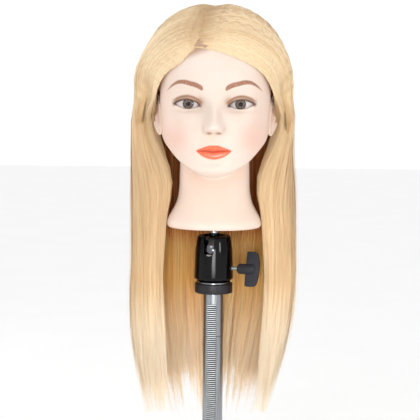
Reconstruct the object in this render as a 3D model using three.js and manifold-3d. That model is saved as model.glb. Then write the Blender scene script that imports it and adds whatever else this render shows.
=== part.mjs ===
// A hairdresser's training head: a soft vinyl head with long implanted hair, on a ball-joint
// clamp, on the geared centre column of a floor tripod.
//
// Frame: millimetres, +Z up, the face looks along -Y, +X is the face's left-hand side.
// The origin is the centre of the column's flat bottom end.

import * as THREE from "three";
import { mergeVertices } from "three/addons/utils/BufferGeometryUtils.js";
import Module from "manifold-3d";

const wasm = await Module();
wasm.setup();

// ---------------------------------------------------------------- driving dimensions

const gap = 0.3; // clearance between pieces that touch

const column = { radius: 12.5, bore: 9.2, length: 280, seamBelowPlate: 54 };
const rack = { width: 11, thickness: 2, pitch: 2.5, toothDepth: 0.9, turn: -8.7, below: 14 };
const plate = { radius: 23.3, thickness: 12 };
const ballRadius = 18;
const ballHeight = 333.5; // centre of the ball
const housing = { bottom: 293.6, top: 351, bore: 18.7 };
const seatRadius = ballRadius + gap; // spherical seats that touch the ball
const notch = { halfWidth: 6.5, turn: -16.6 };
const mountingScrewRadius = 4.6;
const lockScrew = { radius: 2.45, drop: 22.5, tip: 5, hubStart: 31, end: 38.5 };
const wing = { length: 42.8, inner: 42, hubEnd: 51, outer: 58, thickness: 8, twist: 16 };
const stud = { radius: 4.76, collar: 7, top: 390 };
const neckBase = 362.6; // bottom plane of the neck
const skinThickness = 5;
const linerHollow = 16; // depth of the liner's hollow below the skin's surface
const eye = { spacing: 61.4, depth: -62.5, height: 514, radius: 12, iris: 6.2 };
const scalp = { frontY: -84, frontZ: 581, backY: 100, backZ: 470 }; // edge of the implanted area
const upperHairEnd = ballHeight + 20;
const lowerHairStart = ballHeight - 22;

// ---------------------------------------------------------------- solids and cuts

function welded(geometry) {
  const bare = geometry.clone();
  bare.deleteAttribute("normal");
  bare.deleteAttribute("uv");
  return mergeVertices(bare, 1e-4);
}

function solidOf(geometry) {
  const mesh = welded(geometry);
  return new wasm.Manifold(
    new wasm.Mesh({
      numProp: 3,
      vertProperties: mesh.attributes.position.array,
      triVerts: new Uint32Array(mesh.index.array),
    }),
  );
}

function geometryOf(solid) {
  const mesh = solid.getMesh();
  return new THREE.BufferGeometry()
    .setAttribute("position", new THREE.BufferAttribute(mesh.vertProperties, 3))
    .setIndex(new THREE.BufferAttribute(mesh.triVerts, 1));
}

function cut(geometry, ...tools) {
  return geometryOf(tools.reduce((left, tool) => left.subtract(solidOf(tool)), solidOf(geometry)));
}

function join(geometry, ...others) {
  return geometryOf(others.reduce((sum, other) => sum.add(solidOf(other)), solidOf(geometry)));
}

function common(geometry, other) {
  return geometryOf(solidOf(geometry).intersect(solidOf(other)));
}

const radians = THREE.MathUtils.degToRad;

// A solid turned about the Z axis. The profile's points are [radius, height], going up the outside.
function turned(profile, segments = 24) {
  const points = profile.map(([radius, height]) => new THREE.Vector2(radius, height));
  return new THREE.LatheGeometry(points, segments).rotateX(Math.PI / 2);
}

// A ring or tube turned about the Z axis: the closed profile goes up the outside, down the inside.
function turnedRing(profile, segments = 24) {
  return turned([...profile, profile[0]], segments);
}

function rod(radius, bottom, top, segments = 16) {
  return turned([[0, bottom], [radius, bottom], [radius, top], [0, top]], segments);
}

function tube(outer, inner, bottom, top, segments = 24) {
  return turnedRing([[inner, bottom], [outer, bottom], [outer, top], [inner, top]], segments);
}

// Points on a sphere about the ball's centre, from one height above that centre to another.
function seatArc(from, to, steps) {
  return Array.from({ length: steps + 1 }, (_, i) => {
    const height = from + ((to - from) * i) / steps;
    return [Math.sqrt(seatRadius ** 2 - height ** 2), ballHeight + height];
  });
}

// A closed solid through level outlines, given from the bottom up. Each outline is a list of
// Vector3 at one height, anticlockwise from above, and all have the same number of points.
function lofted(outlines) {
  const count = outlines[0].length;
  const positions = outlines.flat().flatMap((p) => [p.x, p.y, p.z]);
  const faces = [];
  for (let level = 0; level + 1 < outlines.length; level++) {
    for (let i = 0; i < count; i++) {
      const a = level * count + i;
      const b = level * count + ((i + 1) % count);
      faces.push(a, b, b + count, a, b + count, a + count);
    }
  }
  const last = (outlines.length - 1) * count;
  const flat = (outline) => outline.map((p) => new THREE.Vector2(p.x, p.y));
  for (const [a, b, c] of THREE.ShapeUtils.triangulateShape(flat(outlines[0]), [])) {
    faces.push(a, c, b);
  }
  for (const [a, b, c] of THREE.ShapeUtils.triangulateShape(flat(outlines.at(-1)), [])) {
    faces.push(last + a, last + b, last + c);
  }
  return new THREE.BufferGeometry()
    .setAttribute("position", new THREE.Float32BufferAttribute(positions, 3))
    .setIndex(faces);
}

// ---------------------------------------------------------------- the head's form

// Outline of the bald head at each height: half width, foremost y and rearmost y.
const headStations = [
  [neckBase, 57, -55, 55],
  [368, 58, -57, 57],
  [380, 52, -49, 52],
  [395, 45, -40, 48],
  [410, 43, -36, 46],
  [419, 43, -42, 46.5],
  [424, 43.3, -64, 47],
  [429, 43.8, -77, 48],
  [436, 45, -82, 51],
  [446, 50, -84, 57],
  [455, 55.5, -84, 63],
  [463, 60, -86, 70],
  [472, 63.5, -87, 77],
  [481, 65, -87, 83],
  [490, 66, -86.5, 88],
  [500, 66.6, -86, 92],
  [514, 67, -85, 96],
  [533, 68.6, -87, 99],
  [553, 72, -87.5, 99],
  [570, 74, -85, 97],
  [584, 72.5, -80, 92],
  [597, 66.5, -71, 84],
  [608, 57, -59, 72],
  [617, 44, -43, 56],
  [624, 27, -23, 36],
  [627.5, 8, -2, 14],
];
const outlinePoints = 28;
const sectionPower = 2 / 2.15; // a little squarer than an ellipse

const bell = (x, width) => Math.exp(-((x / width) ** 2));

// How far the nose and lips stand out of the face.
function faceRelief(x, z) {
  const ridge = THREE.MathUtils.clamp((520 - z) / 32, 0, 1) ** 1.3;
  const underside = THREE.MathUtils.smoothstep(z, 474, 487);
  const nose = 25 * ridge * underside * bell(x, 6 + 5 * ridge);
  const lips = 4 * bell(x, 20) * bell(z - 460, 8);
  return nose + lips;
}

// The outline at one station, shrunk by inset (or grown, if inset is negative).
function headOutline([z, halfWidth, front, back], inset, relief) {
  return Array.from({ length: outlinePoints }, (_, i) => {
    const turn = (2 * Math.PI * i) / outlinePoints;
    const angle = turn - 0.5 * Math.sin(turn); // closer together over the face
    const side = Math.sin(angle);
    const ahead = Math.cos(angle);
    const reach = ahead > 0 ? -front - inset : back - inset;
    const x = (halfWidth - inset) * Math.sign(side) * Math.abs(side) ** sectionPower;
    const y = -reach * Math.sign(ahead) * Math.abs(ahead) ** sectionPower;
    const proud = relief && ahead > 0 ? faceRelief(x, z) : 0;
    return new THREE.Vector3(x, y - proud, z);
  });
}

// The closed form of the head and neck, shrunk by inset, from the height `bottom` up.
function headSolid({ inset = 0, bottom = neckBase, relief = false }) {
  const top = headStations.at(-1)[0] - inset;
  const kept = headStations.filter(([z]) => z > bottom + 1 && z < top - 2);
  const lowest = bottom === neckBase ? headStations[0] : [bottom, ...headStations[1].slice(1)];
  const highest = [
    top,
    ...headStations.at(-1).slice(1).map((size) => size + Math.sign(size) * (inset + 3)),
  ];
  const stations = [lowest, ...kept, highest];
  return lofted(stations.map((station) => headOutline(station, inset, relief)));
}

// Everything above the edge of the implanted area, moved down by drop.
function aboveScalpEdge(drop) {
  const slope = (scalp.backZ - scalp.frontZ) / (scalp.backY - scalp.frontY);
  return new THREE.BoxGeometry(400, 500, 300)
    .translate(0, 0, 150)
    .rotateX(Math.atan(slope))
    .translate(0, scalp.frontY, scalp.frontZ - drop);
}

function earBlank(side) {
  return new THREE.SphereGeometry(1, 12, 8)
    .scale(4.5, 15, 26)
    .rotateX(radians(-8))
    .rotateZ(side * radians(24))
    .translate(side * 71, 10, 496);
}

function eyeSocket(side, radius) {
  return new THREE.SphereGeometry(radius, 14, 8).translate(
    (side * eye.spacing) / 2,
    eye.depth,
    eye.height,
  );
}

// The almond opening that the lids leave.
function lidOpening(side) {
  return new THREE.SphereGeometry(1, 16, 8)
    .scale(15, 24, 6)
    .translate((side * eye.spacing) / 2, eye.depth - 12, eye.height);
}

function faceAndNeckSkin() {
  const shell = join(headSolid({ relief: true }), earBlank(-1), earBlank(1));
  return cut(
    shell,
    headSolid({ inset: skinThickness, bottom: neckBase - 2 }),
    aboveScalpEdge(gap),
    eyeSocket(-1, eye.radius + 1),
    eyeSocket(1, eye.radius + 1),
    lidOpening(-1),
    lidOpening(1),
  );
}

function scalpCap() {
  const hollow = headSolid({ inset: skinThickness, bottom: neckBase - 2 });
  return cut(common(headSolid({}), aboveScalpEdge(0)), hollow);
}

function innerLiner() {
  const hollow = headStations
    .filter(([z], i) => i % 3 === 0 && z < 600)
    .map((station) => headOutline(station, linerHollow, false).filter((_, i) => i % 2 === 0));
  return cut(
    headSolid({ inset: skinThickness + gap + 0.2, bottom: neckBase + 4.6 }),
    lofted(hollow),
    eyeSocket(-1, eye.radius + 1.3),
    eyeSocket(1, eye.radius + 1.3),
  );
}

// ---------------------------------------------------------------- eyes, looking along -Y

const irisSeat = 9.6; // distance of the iris's back from the eye's centre

function placedEyePart(geometry, side) {
  return geometry
    .rotateX(Math.PI / 2)
    .translate((side * eye.spacing) / 2, eye.depth, eye.height);
}

function sphereProfile(radius, fromAngle, toAngle, steps) {
  return Array.from({ length: steps + 1 }, (_, i) => {
    const angle = radians(fromAngle + ((toAngle - fromAngle) * i) / steps);
    return [Math.max(0, radius * Math.cos(angle)), radius * Math.sin(angle)];
  });
}

function eyeWhite(side) {
  const profile = [
    ...sphereProfile(eye.radius, -90, 54, 6),
    [eye.iris + gap, irisSeat],
    [eye.iris + gap, irisSeat - 0.6],
    [0, irisSeat - 0.6],
  ];
  return placedEyePart(turned(profile, 16), side);
}

function iris(side) {
  const back = irisSeat - 0.3;
  const profile = [[0, back], [eye.iris, back], [eye.iris, back + 0.5], [0, back + 0.3]];
  return placedEyePart(turned(profile, 16), side);
}

function cornea(side) {
  const back = irisSeat + 0.5;
  const profile = [[0, back], [eye.iris, back], [5.4, 11.3], [3.4, 12.1], [0, 12.5]];
  return placedEyePart(turned(profile, 16), side);
}

// ---------------------------------------------------------------- hair, as plain closed solids

// Hair over the scalp, thicker lower down, where it stands off the head.
function hairCrown() {
  const stations = headStations
    .filter(([z]) => z > 440)
    .map(([z, halfWidth, front, back]) => {
      const spread = THREE.MathUtils.clamp((615 - z) / 90, 0, 1);
      const lift = Math.max(0, z - 560) * 0.08;
      return [z + lift, halfWidth + 6 + 17 * spread, front - 6, back + 6 + 5 * spread];
    });
  const outer = lofted(stations.map((station) => headOutline(station, 0, false)));
  const head = lofted(
    headStations.filter(([z]) => z > 430).map((station) => headOutline(station, -1.2, false)),
  ).translate(0, 0, 0.6);
  return cut(common(outer, aboveScalpEdge(0)), head, neckSpace());
}

// Room below the crown, so that its hollow opens downwards.
function neckSpace() {
  return new THREE.BoxGeometry(100, 100, 40).translate(0, 0, 440);
}

// Half axes of the hair's inner and outer surface at each height: inner x, inner y, outer x, outer y.
const upperCurtain = [
  [upperHairEnd, 62, 62, 101, 99],
  [400, 62, 64, 101.5, 101],
  [445, 64, 76, 101, 104],
  [470, 83.5, 90, 100, 107],
  [500, 84, 98, 99, 110],
  [530, 84, 102, 97, 111],
  [575, 84, 104, 93, 110],
];
const lowerSideCurtain = [
  [168, 68, 62, 86, 78],
  [195, 66, 62, 96, 88],
  [240, 63, 62, 101, 94],
  [lowerHairStart, 62, 62, 102, 98],
];
const lowerBackCurtain = [
  [134, 52, 60, 66, 74],
  [165, 60, 61, 82, 84],
  [240, 62, 62, 98, 94],
  [lowerHairStart, 62, 62, 102, 98],
];

// A hanging sheet of hair between two angles, measured from the front towards +X.
function hairCurtain(levels, from, to) {
  const steps = Math.ceil(Math.abs(to - from) / 13);
  const arc = (z, x, y, start, end) =>
    Array.from({ length: steps + 1 }, (_, i) => {
      const angle = radians(start + ((end - start) * i) / steps);
      return new THREE.Vector3(x * Math.sin(angle), -y * Math.cos(angle), z);
    });
  return lofted(
    levels.map(([z, innerX, innerY, outerX, outerY]) => [
      ...arc(z, outerX, outerY, from, to),
      ...arc(z, innerX, innerY, to, from),
    ]),
  );
}

const sideHair = { front: 74, back: 128.8 }; // angles from the front
const backHair = { start: 131.2, end: 228.8 };

function upperHair(from, to) {
  return cut(hairCurtain(upperCurtain, from, to), aboveScalpEdge(0.6));
}

// ---------------------------------------------------------------- neck fittings

const basePlate = { bottom: neckBase + 0.3, thickness: 4, radius: 48.6 };
const basePlateTop = basePlate.bottom + basePlate.thickness;
const socket = { radius: 11.2, flange: 20, flangeThickness: 3, top: 392, bore: 7.9 };
const insert = { outer: 7.6, inner: 5.1, top: 385 };
const plateScrew = { radius: 1.9, head: 3.4, headHeight: 2, circle: 15.6 };

function aroundCircle(count, radius, firstAngle = 0) {
  return Array.from({ length: count }, (_, i) => {
    const angle = radians(firstAngle + (360 * i) / count);
    return [radius * Math.cos(angle), radius * Math.sin(angle)];
  });
}
const plateScrewPlaces = aroundCircle(4, plateScrew.circle, 45);

function plateScrewHoles(bottom, top) {
  return plateScrewPlaces.flatMap(([x, y]) => [
    rod(plateScrew.radius + gap, bottom - 1, top + 1, 10).translate(x, y, 0),
    rod(plateScrew.head + gap, basePlate.bottom - 1, basePlate.bottom + 2.4, 10).translate(x, y, 0),
  ]);
}

function neckBasePlate() {
  const disc = rod(basePlate.radius, basePlate.bottom, basePlateTop, 28);
  const centre = rod(socket.radius + gap, basePlate.bottom - 1, basePlateTop + 1, 24);
  return cut(disc, centre, ...plateScrewHoles(basePlate.bottom, basePlateTop));
}

function neckSocket() {
  const flangeBottom = basePlateTop + gap;
  const flangeTop = flangeBottom + socket.flangeThickness;
  const body = turnedRing([
    [socket.bore, basePlate.bottom],
    [socket.radius, basePlate.bottom],
    [socket.radius, flangeBottom],
    [socket.flange, flangeBottom],
    [socket.flange, flangeTop],
    [socket.radius, flangeTop],
    [socket.radius, socket.top],
    [socket.bore, socket.top],
  ]);
  return cut(body, ...plateScrewHoles(flangeBottom, flangeTop));
}

function basePlateScrew([x, y]) {
  const head = basePlate.bottom + 0.2;
  const shank = head + plateScrew.headHeight;
  const profile = [
    [0, head],
    [plateScrew.head, head],
    [plateScrew.head, shank],
    [plateScrew.radius, shank],
    [plateScrew.radius, basePlateTop + socket.flangeThickness],
    [0, basePlateTop + socket.flangeThickness + 1],
  ];
  return turned(profile, 10).translate(x, y, 0);
}

// ---------------------------------------------------------------- ball-joint clamp

// A slot from the notch's face into the housing, up through its open top.
function dropSlot() {
  const outline = new THREE.Shape();
  outline.moveTo(-notch.halfWidth, 40);
  outline.lineTo(-notch.halfWidth, 0);
  outline.absarc(0, 0, notch.halfWidth, Math.PI, 2 * Math.PI);
  outline.lineTo(notch.halfWidth, 40);
  outline.closePath();
  return new THREE.ExtrudeGeometry(outline, { depth: 22, bevelEnabled: false, curveSegments: 8 })
    .rotateX(Math.PI / 2)
    .translate(0, -8, ballHeight)
    .rotateZ(radians(notch.turn));
}

// Turns a piece made along +Z so that it points out along the lock screw.
function alongLockScrew(geometry) {
  return geometry
    .rotateY(Math.PI / 2)
    .translate(0, 0, ballHeight - lockScrew.drop)
    .rotateZ(radians(notch.turn));
}

function ballHousing() {
  const body = turnedRing(
    [
      [housing.bore, housing.bottom],
      [19.4, housing.bottom],
      [24.1, 298.3],
      [24, 300],
      [23, 330],
      [22.2, 339],
      [20.5, 348.3],
      [19.4, housing.top],
      [14.5, housing.top],
      [13.45, ballHeight + 12.7],
      [14.9, ballHeight + 11],
      [16, ballHeight + 9.3],
      [housing.bore, ballHeight + 9.3],
    ],
    32,
  );
  const screwHole = alongLockScrew(rod(lockScrew.radius + 0.4, 12, 34, 20));
  return cut(body, dropSlot(), screwHole);
}

function frictionRing() {
  const outer = housing.bore - gap;
  const ring = turnedRing([
    [outer, ballHeight + 5],
    [outer, ballHeight + 9],
    ...seatArc(9, 5, 3),
  ]);
  return cut(ring, dropSlot());
}

function ballCup() {
  const outer = housing.bore - gap;
  const bottom = ballHeight - 19.4;
  const profile = [[0, bottom], [outer, bottom], [outer, ballHeight - 5], ...seatArc(-5, -17.8, 5)];
  return turned([...profile, [0, ballHeight - seatRadius]]);
}

function liftPlunger() {
  const body = rod(10, 299.4, ballHeight - 19.8, 24);
  return cut(body, alongLockScrew(rod(lockScrew.radius + 0.65, 4.4, 14, 16)));
}

function lockScrewBody() {
  const { radius, tip, end } = lockScrew;
  return alongLockScrew(
    turned([[0, tip], [radius - 1.2, tip], [radius, tip + 1.4], [radius, end], [0, end]], 16),
  );
}

function wingKnob() {
  const start = lockScrew.hubStart;
  const hub = turned(
    [[0, start], [4.9, start], [6.35, start + 1.6], [6.35, wing.hubEnd], [0, wing.hubEnd]],
    24,
  ).rotateY(Math.PI / 2);
  const half = wing.length / 2;
  const outline = new THREE.Shape();
  outline.moveTo(wing.inner, -half);
  outline.lineTo(wing.outer - 5, -half);
  outline.quadraticCurveTo(wing.outer + 4, 0, wing.outer - 5, half);
  outline.lineTo(wing.inner, half);
  outline.closePath();
  const blade = new THREE.ExtrudeGeometry(outline, {
    depth: wing.thickness - 2,
    bevelSize: 1,
    bevelThickness: 1,
    bevelOffset: -1,
    bevelSegments: 1,
    curveSegments: 8,
  })
    .rotateX(Math.PI / 2)
    .translate(0, wing.thickness / 2 - 1, 0)
    .rotateX(radians(-wing.twist));
  const socketHole = rod(lockScrew.radius + gap, start - 1, lockScrew.end + gap, 16);
  return cut(join(hub, blade), socketHole.rotateY(Math.PI / 2))
    .translate(0, 0, ballHeight - lockScrew.drop)
    .rotateZ(radians(notch.turn));
}

// Collar and threaded stud. Its hollow underside sits on the ball.
function ballStud() {
  const collarEdge = Math.sqrt(seatRadius ** 2 - stud.collar ** 2);
  return turned(
    [
      [0, ballHeight + seatRadius],
      [4, ballHeight + Math.sqrt(seatRadius ** 2 - 16)],
      [stud.collar, ballHeight + collarEdge],
      [stud.collar, ballHeight + 20],
      [5.6, ballHeight + 21.2],
      [stud.radius, ballHeight + 22],
      [stud.radius, stud.top - 1.5],
      [3.4, stud.top],
      [0, stud.top],
    ],
    28,
  );
}

// Threaded plug that closes the housing's bottom. Its rim shows as a thin bright ring.
function baseInsert() {
  const rim = column.length + plate.thickness + gap;
  const bore = mountingScrewRadius + gap;
  const spigot = housing.bore - gap;
  return turnedRing([
    [bore, rim],
    [19.5, rim],
    [19.5, rim + 1],
    [spigot, rim + 1],
    [spigot, 298.8],
    [bore, 298.8],
  ]);
}

// ---------------------------------------------------------------- stand

const grubScrew = { radius: 1.9, circle: 15.5 };
const grubPlaces = aroundCircle(3, grubScrew.circle, 90);
const seam = column.length - column.seamBelowPlate;
const plugBottom = column.length - 22;

function topPlate() {
  const { length } = column;
  const top = length + plate.thickness;
  const bore = mountingScrewRadius + gap;
  const disc = turnedRing(
    [
      [bore, length],
      [plate.radius - 0.7, length],
      [plate.radius, length + 0.7],
      [plate.radius, top - 0.7],
      [plate.radius - 0.7, top],
      [bore, top],
    ],
    32,
  );
  const holes = grubPlaces.map(([x, y]) =>
    rod(grubScrew.radius + gap, length - 1, top + 1, 10).translate(x, y, 0),
  );
  return cut(disc, ...holes);
}

function topPlateGrubScrew([x, y]) {
  const bottom = column.length + 2;
  return rod(grubScrew.radius, bottom, bottom + 9, 10).translate(x, y, 0);
}

// Slot along the front of the column that the rack lies in.
function rackSlot() {
  const floor = column.radius - rack.thickness - gap;
  return new THREE.BoxGeometry(rack.width + 0.6, 6, 400)
    .translate(0, -floor - 3, column.length - rack.below + 0.6 - 200)
    .rotateZ(radians(rack.turn));
}

function columnTube(bottom, top) {
  return cut(tube(column.radius, column.bore, bottom, top, 32), rackSlot());
}

function rackStrip() {
  const back = column.radius - rack.thickness;
  const bottom = 3.5;
  const teeth = Math.floor((column.length - rack.below - bottom) / rack.pitch);
  const outline = new THREE.Shape();
  outline.moveTo(back, bottom);
  for (let i = 0; i < teeth; i++) {
    const root = bottom + i * rack.pitch;
    outline.lineTo(column.radius - rack.toothDepth, root);
    outline.lineTo(column.radius, root + rack.pitch / 2);
  }
  outline.lineTo(back, bottom + teeth * rack.pitch);
  outline.closePath();
  return new THREE.ExtrudeGeometry(outline, { depth: rack.width, bevelEnabled: false })
    .rotateX(Math.PI / 2)
    .rotateZ(-Math.PI / 2)
    .translate(rack.width / 2, 0, 0)
    .rotateZ(radians(rack.turn));
}

function columnEndCap() {
  const spigot = column.bore - gap;
  return turned([[0, 0], [column.radius, 0], [column.radius, 2.7], [spigot, 2.7], [spigot, 14], [0, 14]]);
}

function columnPlug() {
  const bore = mountingScrewRadius + gap;
  return tube(column.bore - gap, bore, plugBottom, column.length - gap);
}

// ---------------------------------------------------------------- materials and assembly

const looks = {
  skin: { color: 0xfbe8da, roughness: 0.45, metalness: 0 },
  scalp: { color: 0xe9c9ac, roughness: 0.7, metalness: 0 },
  liner: { color: 0xd8cfc0, roughness: 0.8, metalness: 0 },
  eyeWhite: { color: 0xf4f1ec, roughness: 0.15, metalness: 0 },
  iris: { color: 0x8a8078, roughness: 0.3, metalness: 0 },
  cornea: { color: 0xffffff, roughness: 0.03, metalness: 0, transparent: true, opacity: 0.25 },
  hair: { color: 0xe6c893, roughness: 0.4, metalness: 0 },
  innerPlastic: { color: 0xb9b2a6, roughness: 0.6, metalness: 0 },
  brass: { color: 0xb08d4a, roughness: 0.35, metalness: 1 },
  zinc: { color: 0xc9cdcb, roughness: 0.3, metalness: 1 },
  blackChrome: { color: 0x2a2a2e, roughness: 0.12, metalness: 1 },
  glossBlack: { color: 0x0a0a10, roughness: 0.18, metalness: 0 },
  charcoal: { color: 0x353338, roughness: 0.5, metalness: 0 },
  aluminium: { color: 0xb9bbbe, roughness: 0.38, metalness: 1 },
  steel: { color: 0xd0d2d3, roughness: 0.25, metalness: 1 },
};

const group = new THREE.Group();

function add(name, look, geometry) {
  const mesh = new THREE.Mesh(geometry, new THREE.MeshStandardMaterial(looks[look]));
  mesh.name = name;
  group.add(mesh);
}

add("column_lower_tube", "aluminium", columnTube(3, seam));
add("column_upper_tube", "aluminium", columnTube(seam + gap, column.length - gap));
add("column_spigot", "aluminium", tube(column.bore - gap, 6.8, seam - 26, seam + 20, 24));
add("column_plug", "aluminium", columnPlug());
add("column_end_cap", "charcoal", columnEndCap());
add("rack_strip", "steel", rackStrip());
add("top_plate", "charcoal", topPlate());
add("mounting_screw", "steel", rod(mountingScrewRadius, plugBottom + 2, 298.4, 20));
grubPlaces.forEach((place, i) =>
  add(`top_plate_grub_screw_${i + 1}`, "steel", topPlateGrubScrew(place)),
);
add("base_insert", "zinc", baseInsert());
add("ball_housing", "glossBlack", ballHousing());
add("friction_ring", "innerPlastic", frictionRing());
add("ball_cup", "innerPlastic", ballCup());
add("lift_plunger", "brass", liftPlunger());
add("lock_screw", "zinc", lockScrewBody());
add("wing_knob", "charcoal", wingKnob());
add("ball", "blackChrome", new THREE.SphereGeometry(ballRadius, 24, 16).translate(0, 0, ballHeight));
add("ball_stud", "zinc", ballStud());

add("neck_base_plate", "innerPlastic", neckBasePlate());
add("neck_socket", "innerPlastic", neckSocket());
add("threaded_insert", "brass", tube(insert.outer, insert.inner, basePlate.bottom, insert.top, 24));
plateScrewPlaces.forEach((place, i) => add(`base_plate_screw_${i + 1}`, "zinc", basePlateScrew(place)));
add("inner_liner", "liner", innerLiner());
add("face_neck_skin", "skin", faceAndNeckSkin());
add("scalp_cap", "scalp", scalpCap());
for (const [name, side] of [["right", -1], ["left", 1]]) {
  add(`eye_white_${name}`, "eyeWhite", eyeWhite(side));
  add(`iris_${name}`, "iris", iris(side));
  add(`cornea_${name}`, "cornea", cornea(side));
}

add("hair_crown", "hair", hairCrown());
add("hair_upper_left", "hair", upperHair(sideHair.front, sideHair.back));
add("hair_upper_right", "hair", upperHair(360 - sideHair.back, 360 - sideHair.front));
add("hair_upper_back", "hair", upperHair(backHair.start, backHair.end));
add("hair_lower_left", "hair", hairCurtain(lowerSideCurtain, sideHair.front, sideHair.back));
add(
  "hair_lower_right",
  "hair",
  hairCurtain(lowerSideCurtain, 360 - sideHair.back, 360 - sideHair.front),
);
add("hair_lower_back", "hair", hairCurtain(lowerBackCurtain, backHair.start, backHair.end));

export default group;
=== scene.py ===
"""Looks for the mannequin training head: sculpted face, painted features, implanted hair,
ball-joint clamp and geared column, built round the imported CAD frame.

Lengths are in millimetres in this script and are scaled to metres as each mesh is made.
Face heights are measured from the eye line, which comes from the frame.
"""

import math

import bpy
import bmesh
import numpy as np
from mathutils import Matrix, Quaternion, Vector


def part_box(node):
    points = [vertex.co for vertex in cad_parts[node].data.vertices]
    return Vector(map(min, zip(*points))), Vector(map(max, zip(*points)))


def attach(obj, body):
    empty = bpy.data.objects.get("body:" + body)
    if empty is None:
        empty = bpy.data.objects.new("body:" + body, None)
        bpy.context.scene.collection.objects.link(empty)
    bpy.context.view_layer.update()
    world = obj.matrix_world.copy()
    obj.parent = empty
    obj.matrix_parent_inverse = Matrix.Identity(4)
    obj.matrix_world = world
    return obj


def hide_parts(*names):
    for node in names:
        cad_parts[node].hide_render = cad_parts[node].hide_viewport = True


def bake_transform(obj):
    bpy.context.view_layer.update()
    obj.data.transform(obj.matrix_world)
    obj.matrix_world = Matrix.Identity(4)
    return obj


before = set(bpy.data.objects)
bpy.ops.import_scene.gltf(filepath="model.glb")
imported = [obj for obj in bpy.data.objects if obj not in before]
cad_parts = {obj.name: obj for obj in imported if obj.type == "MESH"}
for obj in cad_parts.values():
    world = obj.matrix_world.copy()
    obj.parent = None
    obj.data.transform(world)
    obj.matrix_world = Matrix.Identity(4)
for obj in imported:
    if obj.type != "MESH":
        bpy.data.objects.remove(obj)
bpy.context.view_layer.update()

MM = 0.001
scene = bpy.context.scene

# ------------------------------------------------------------------ places taken from the frame


def centre_of(node):
    low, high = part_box(node)
    return np.array((low + high) / 2) / MM


def low_of(node):
    return np.array(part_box(node)[0]) / MM


def high_of(node):
    return np.array(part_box(node)[1]) / MM


BALL = centre_of("ball")
EYE = centre_of("cornea_left")
EYE_LINE = EYE[2]
EYE_OUT = EYE[0]
EYE_FRONT = -low_of("eye_white_left")[1]
NECK_BASE = low_of("face_neck_skin")[2]
PLATE_LOW = low_of("top_plate")[2]
PLATE_TOP = high_of("top_plate")[2]
PLATE_RADIUS = high_of("top_plate")[0]
HOUSING_LOW = low_of("ball_housing")[2]
HOUSING_TOP = high_of("ball_housing")[2]
COLUMN_RADIUS = high_of("column_upper_tube")[0]
SCREW_HEIGHT = centre_of("lock_screw")[2]
SCREW_TURN = math.atan2(centre_of("lock_screw")[1], centre_of("lock_screw")[0])
HAIR_SPLIT = BALL[2] - 20  # strands are cut here, just below the ball joint's centre

# ------------------------------------------------------------------ small helpers


def smooth(edge0, edge1, x):
    t = np.clip((x - edge0) / (edge1 - edge0), 0, 1)
    return t * t * (3 - 2 * t)


def unit(vectors):
    return vectors / (np.linalg.norm(vectors, axis=-1, keepdims=True) + 1e-9)


def bell(x, width):
    return np.exp(-((x / width) ** 2))


def blob(x, z, cx, cz, rx, rz):
    return np.exp(-(((x - cx) / rx) ** 2) - ((z - cz) / rz) ** 2)


def soft_max(a, b, k):
    h = np.clip(0.5 + 0.5 * (a - b) / k, 0, 1)
    return b + (a - b) * h + k * h * (1 - h)


def catmull_rom(p0, p1, p2, p3, f):
    return 0.5 * (
        2 * p1
        + (p2 - p0) * f
        + (2 * p0 - 5 * p1 + 4 * p2 - p3) * f**2
        + (3 * p1 - p0 - 3 * p2 + p3) * f**3
    )


def curve_through(points, x):
    """A smooth curve through (x, value, value...) stations, one array per value."""
    table = np.array(points, float)
    xs, ys = table[:, 0], table[:, 1:]
    slopes = np.gradient(ys, xs, axis=0)
    flat = np.clip(np.asarray(x, float), xs[0], xs[-1])
    i = np.clip(np.searchsorted(xs, flat, side="right") - 1, 0, len(xs) - 2)
    step = (xs[i + 1] - xs[i])[..., None]
    t = ((flat - xs[i]) / (xs[i + 1] - xs[i]))[..., None]
    value = (
        (2 * t**3 - 3 * t**2 + 1) * ys[i]
        + (t**3 - 2 * t**2 + t) * step * slopes[i]
        + (3 * t**2 - 2 * t**3) * ys[i + 1]
        + (t**3 - t**2) * step * slopes[i + 1]
    )
    return [value[..., k] for k in range(ys.shape[1])]


def make_object(name, points_mm, faces, material, smooth_shading=True, attributes=None):
    mesh = bpy.data.meshes.new(name)
    mesh.from_pydata((np.asarray(points_mm) * MM).tolist(), [], [list(f) for f in faces])
    mesh.update()
    if smooth_shading:
        mesh.shade_smooth()
    for key, values in (attributes or {}).items():
        layer = mesh.attributes.new(key, "FLOAT", "POINT")
        layer.data.foreach_set("value", np.asarray(values, np.float32))
    mesh.materials.append(material)
    obj = bpy.data.objects.new(name, mesh)
    scene.collection.objects.link(obj)
    return obj


def grid_faces(rows, columns, closed=False):
    i, j = np.meshgrid(np.arange(rows - 1), np.arange(columns if closed else columns - 1), indexing="ij")
    a = i * columns + j
    b = i * columns + (j + 1) % columns
    return np.stack([a, b, b + columns, a + columns], -1).reshape(-1, 4)


def capped_faces(rows, columns):
    """Faces of a tube of closed rings, with its first and last ring capped."""
    faces = [list(f) for f in grid_faces(rows, columns, closed=True)]
    faces += [list(range(columns))[::-1], [(rows - 1) * columns + k for k in range(columns)]]
    return faces


def outward_faces(obj):
    mesh = bmesh.new()
    mesh.from_mesh(obj.data)
    bmesh.ops.recalc_face_normals(mesh, faces=mesh.faces)
    mesh.to_mesh(obj.data)
    mesh.free()


def apply_modifiers(obj):
    graph = bpy.context.evaluated_depsgraph_get()
    graph.update()
    fresh = bpy.data.meshes.new_from_object(obj.evaluated_get(graph))
    old = obj.data
    obj.modifiers.clear()
    obj.data = fresh
    bpy.data.meshes.remove(old)


def cut_with(obj, cutter):
    modifier = obj.modifiers.new("cut", "BOOLEAN")
    modifier.operation = "DIFFERENCE"
    modifier.solver = "EXACT"
    modifier.object = cutter
    apply_modifiers(obj)
    bpy.data.objects.remove(cutter)


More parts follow.
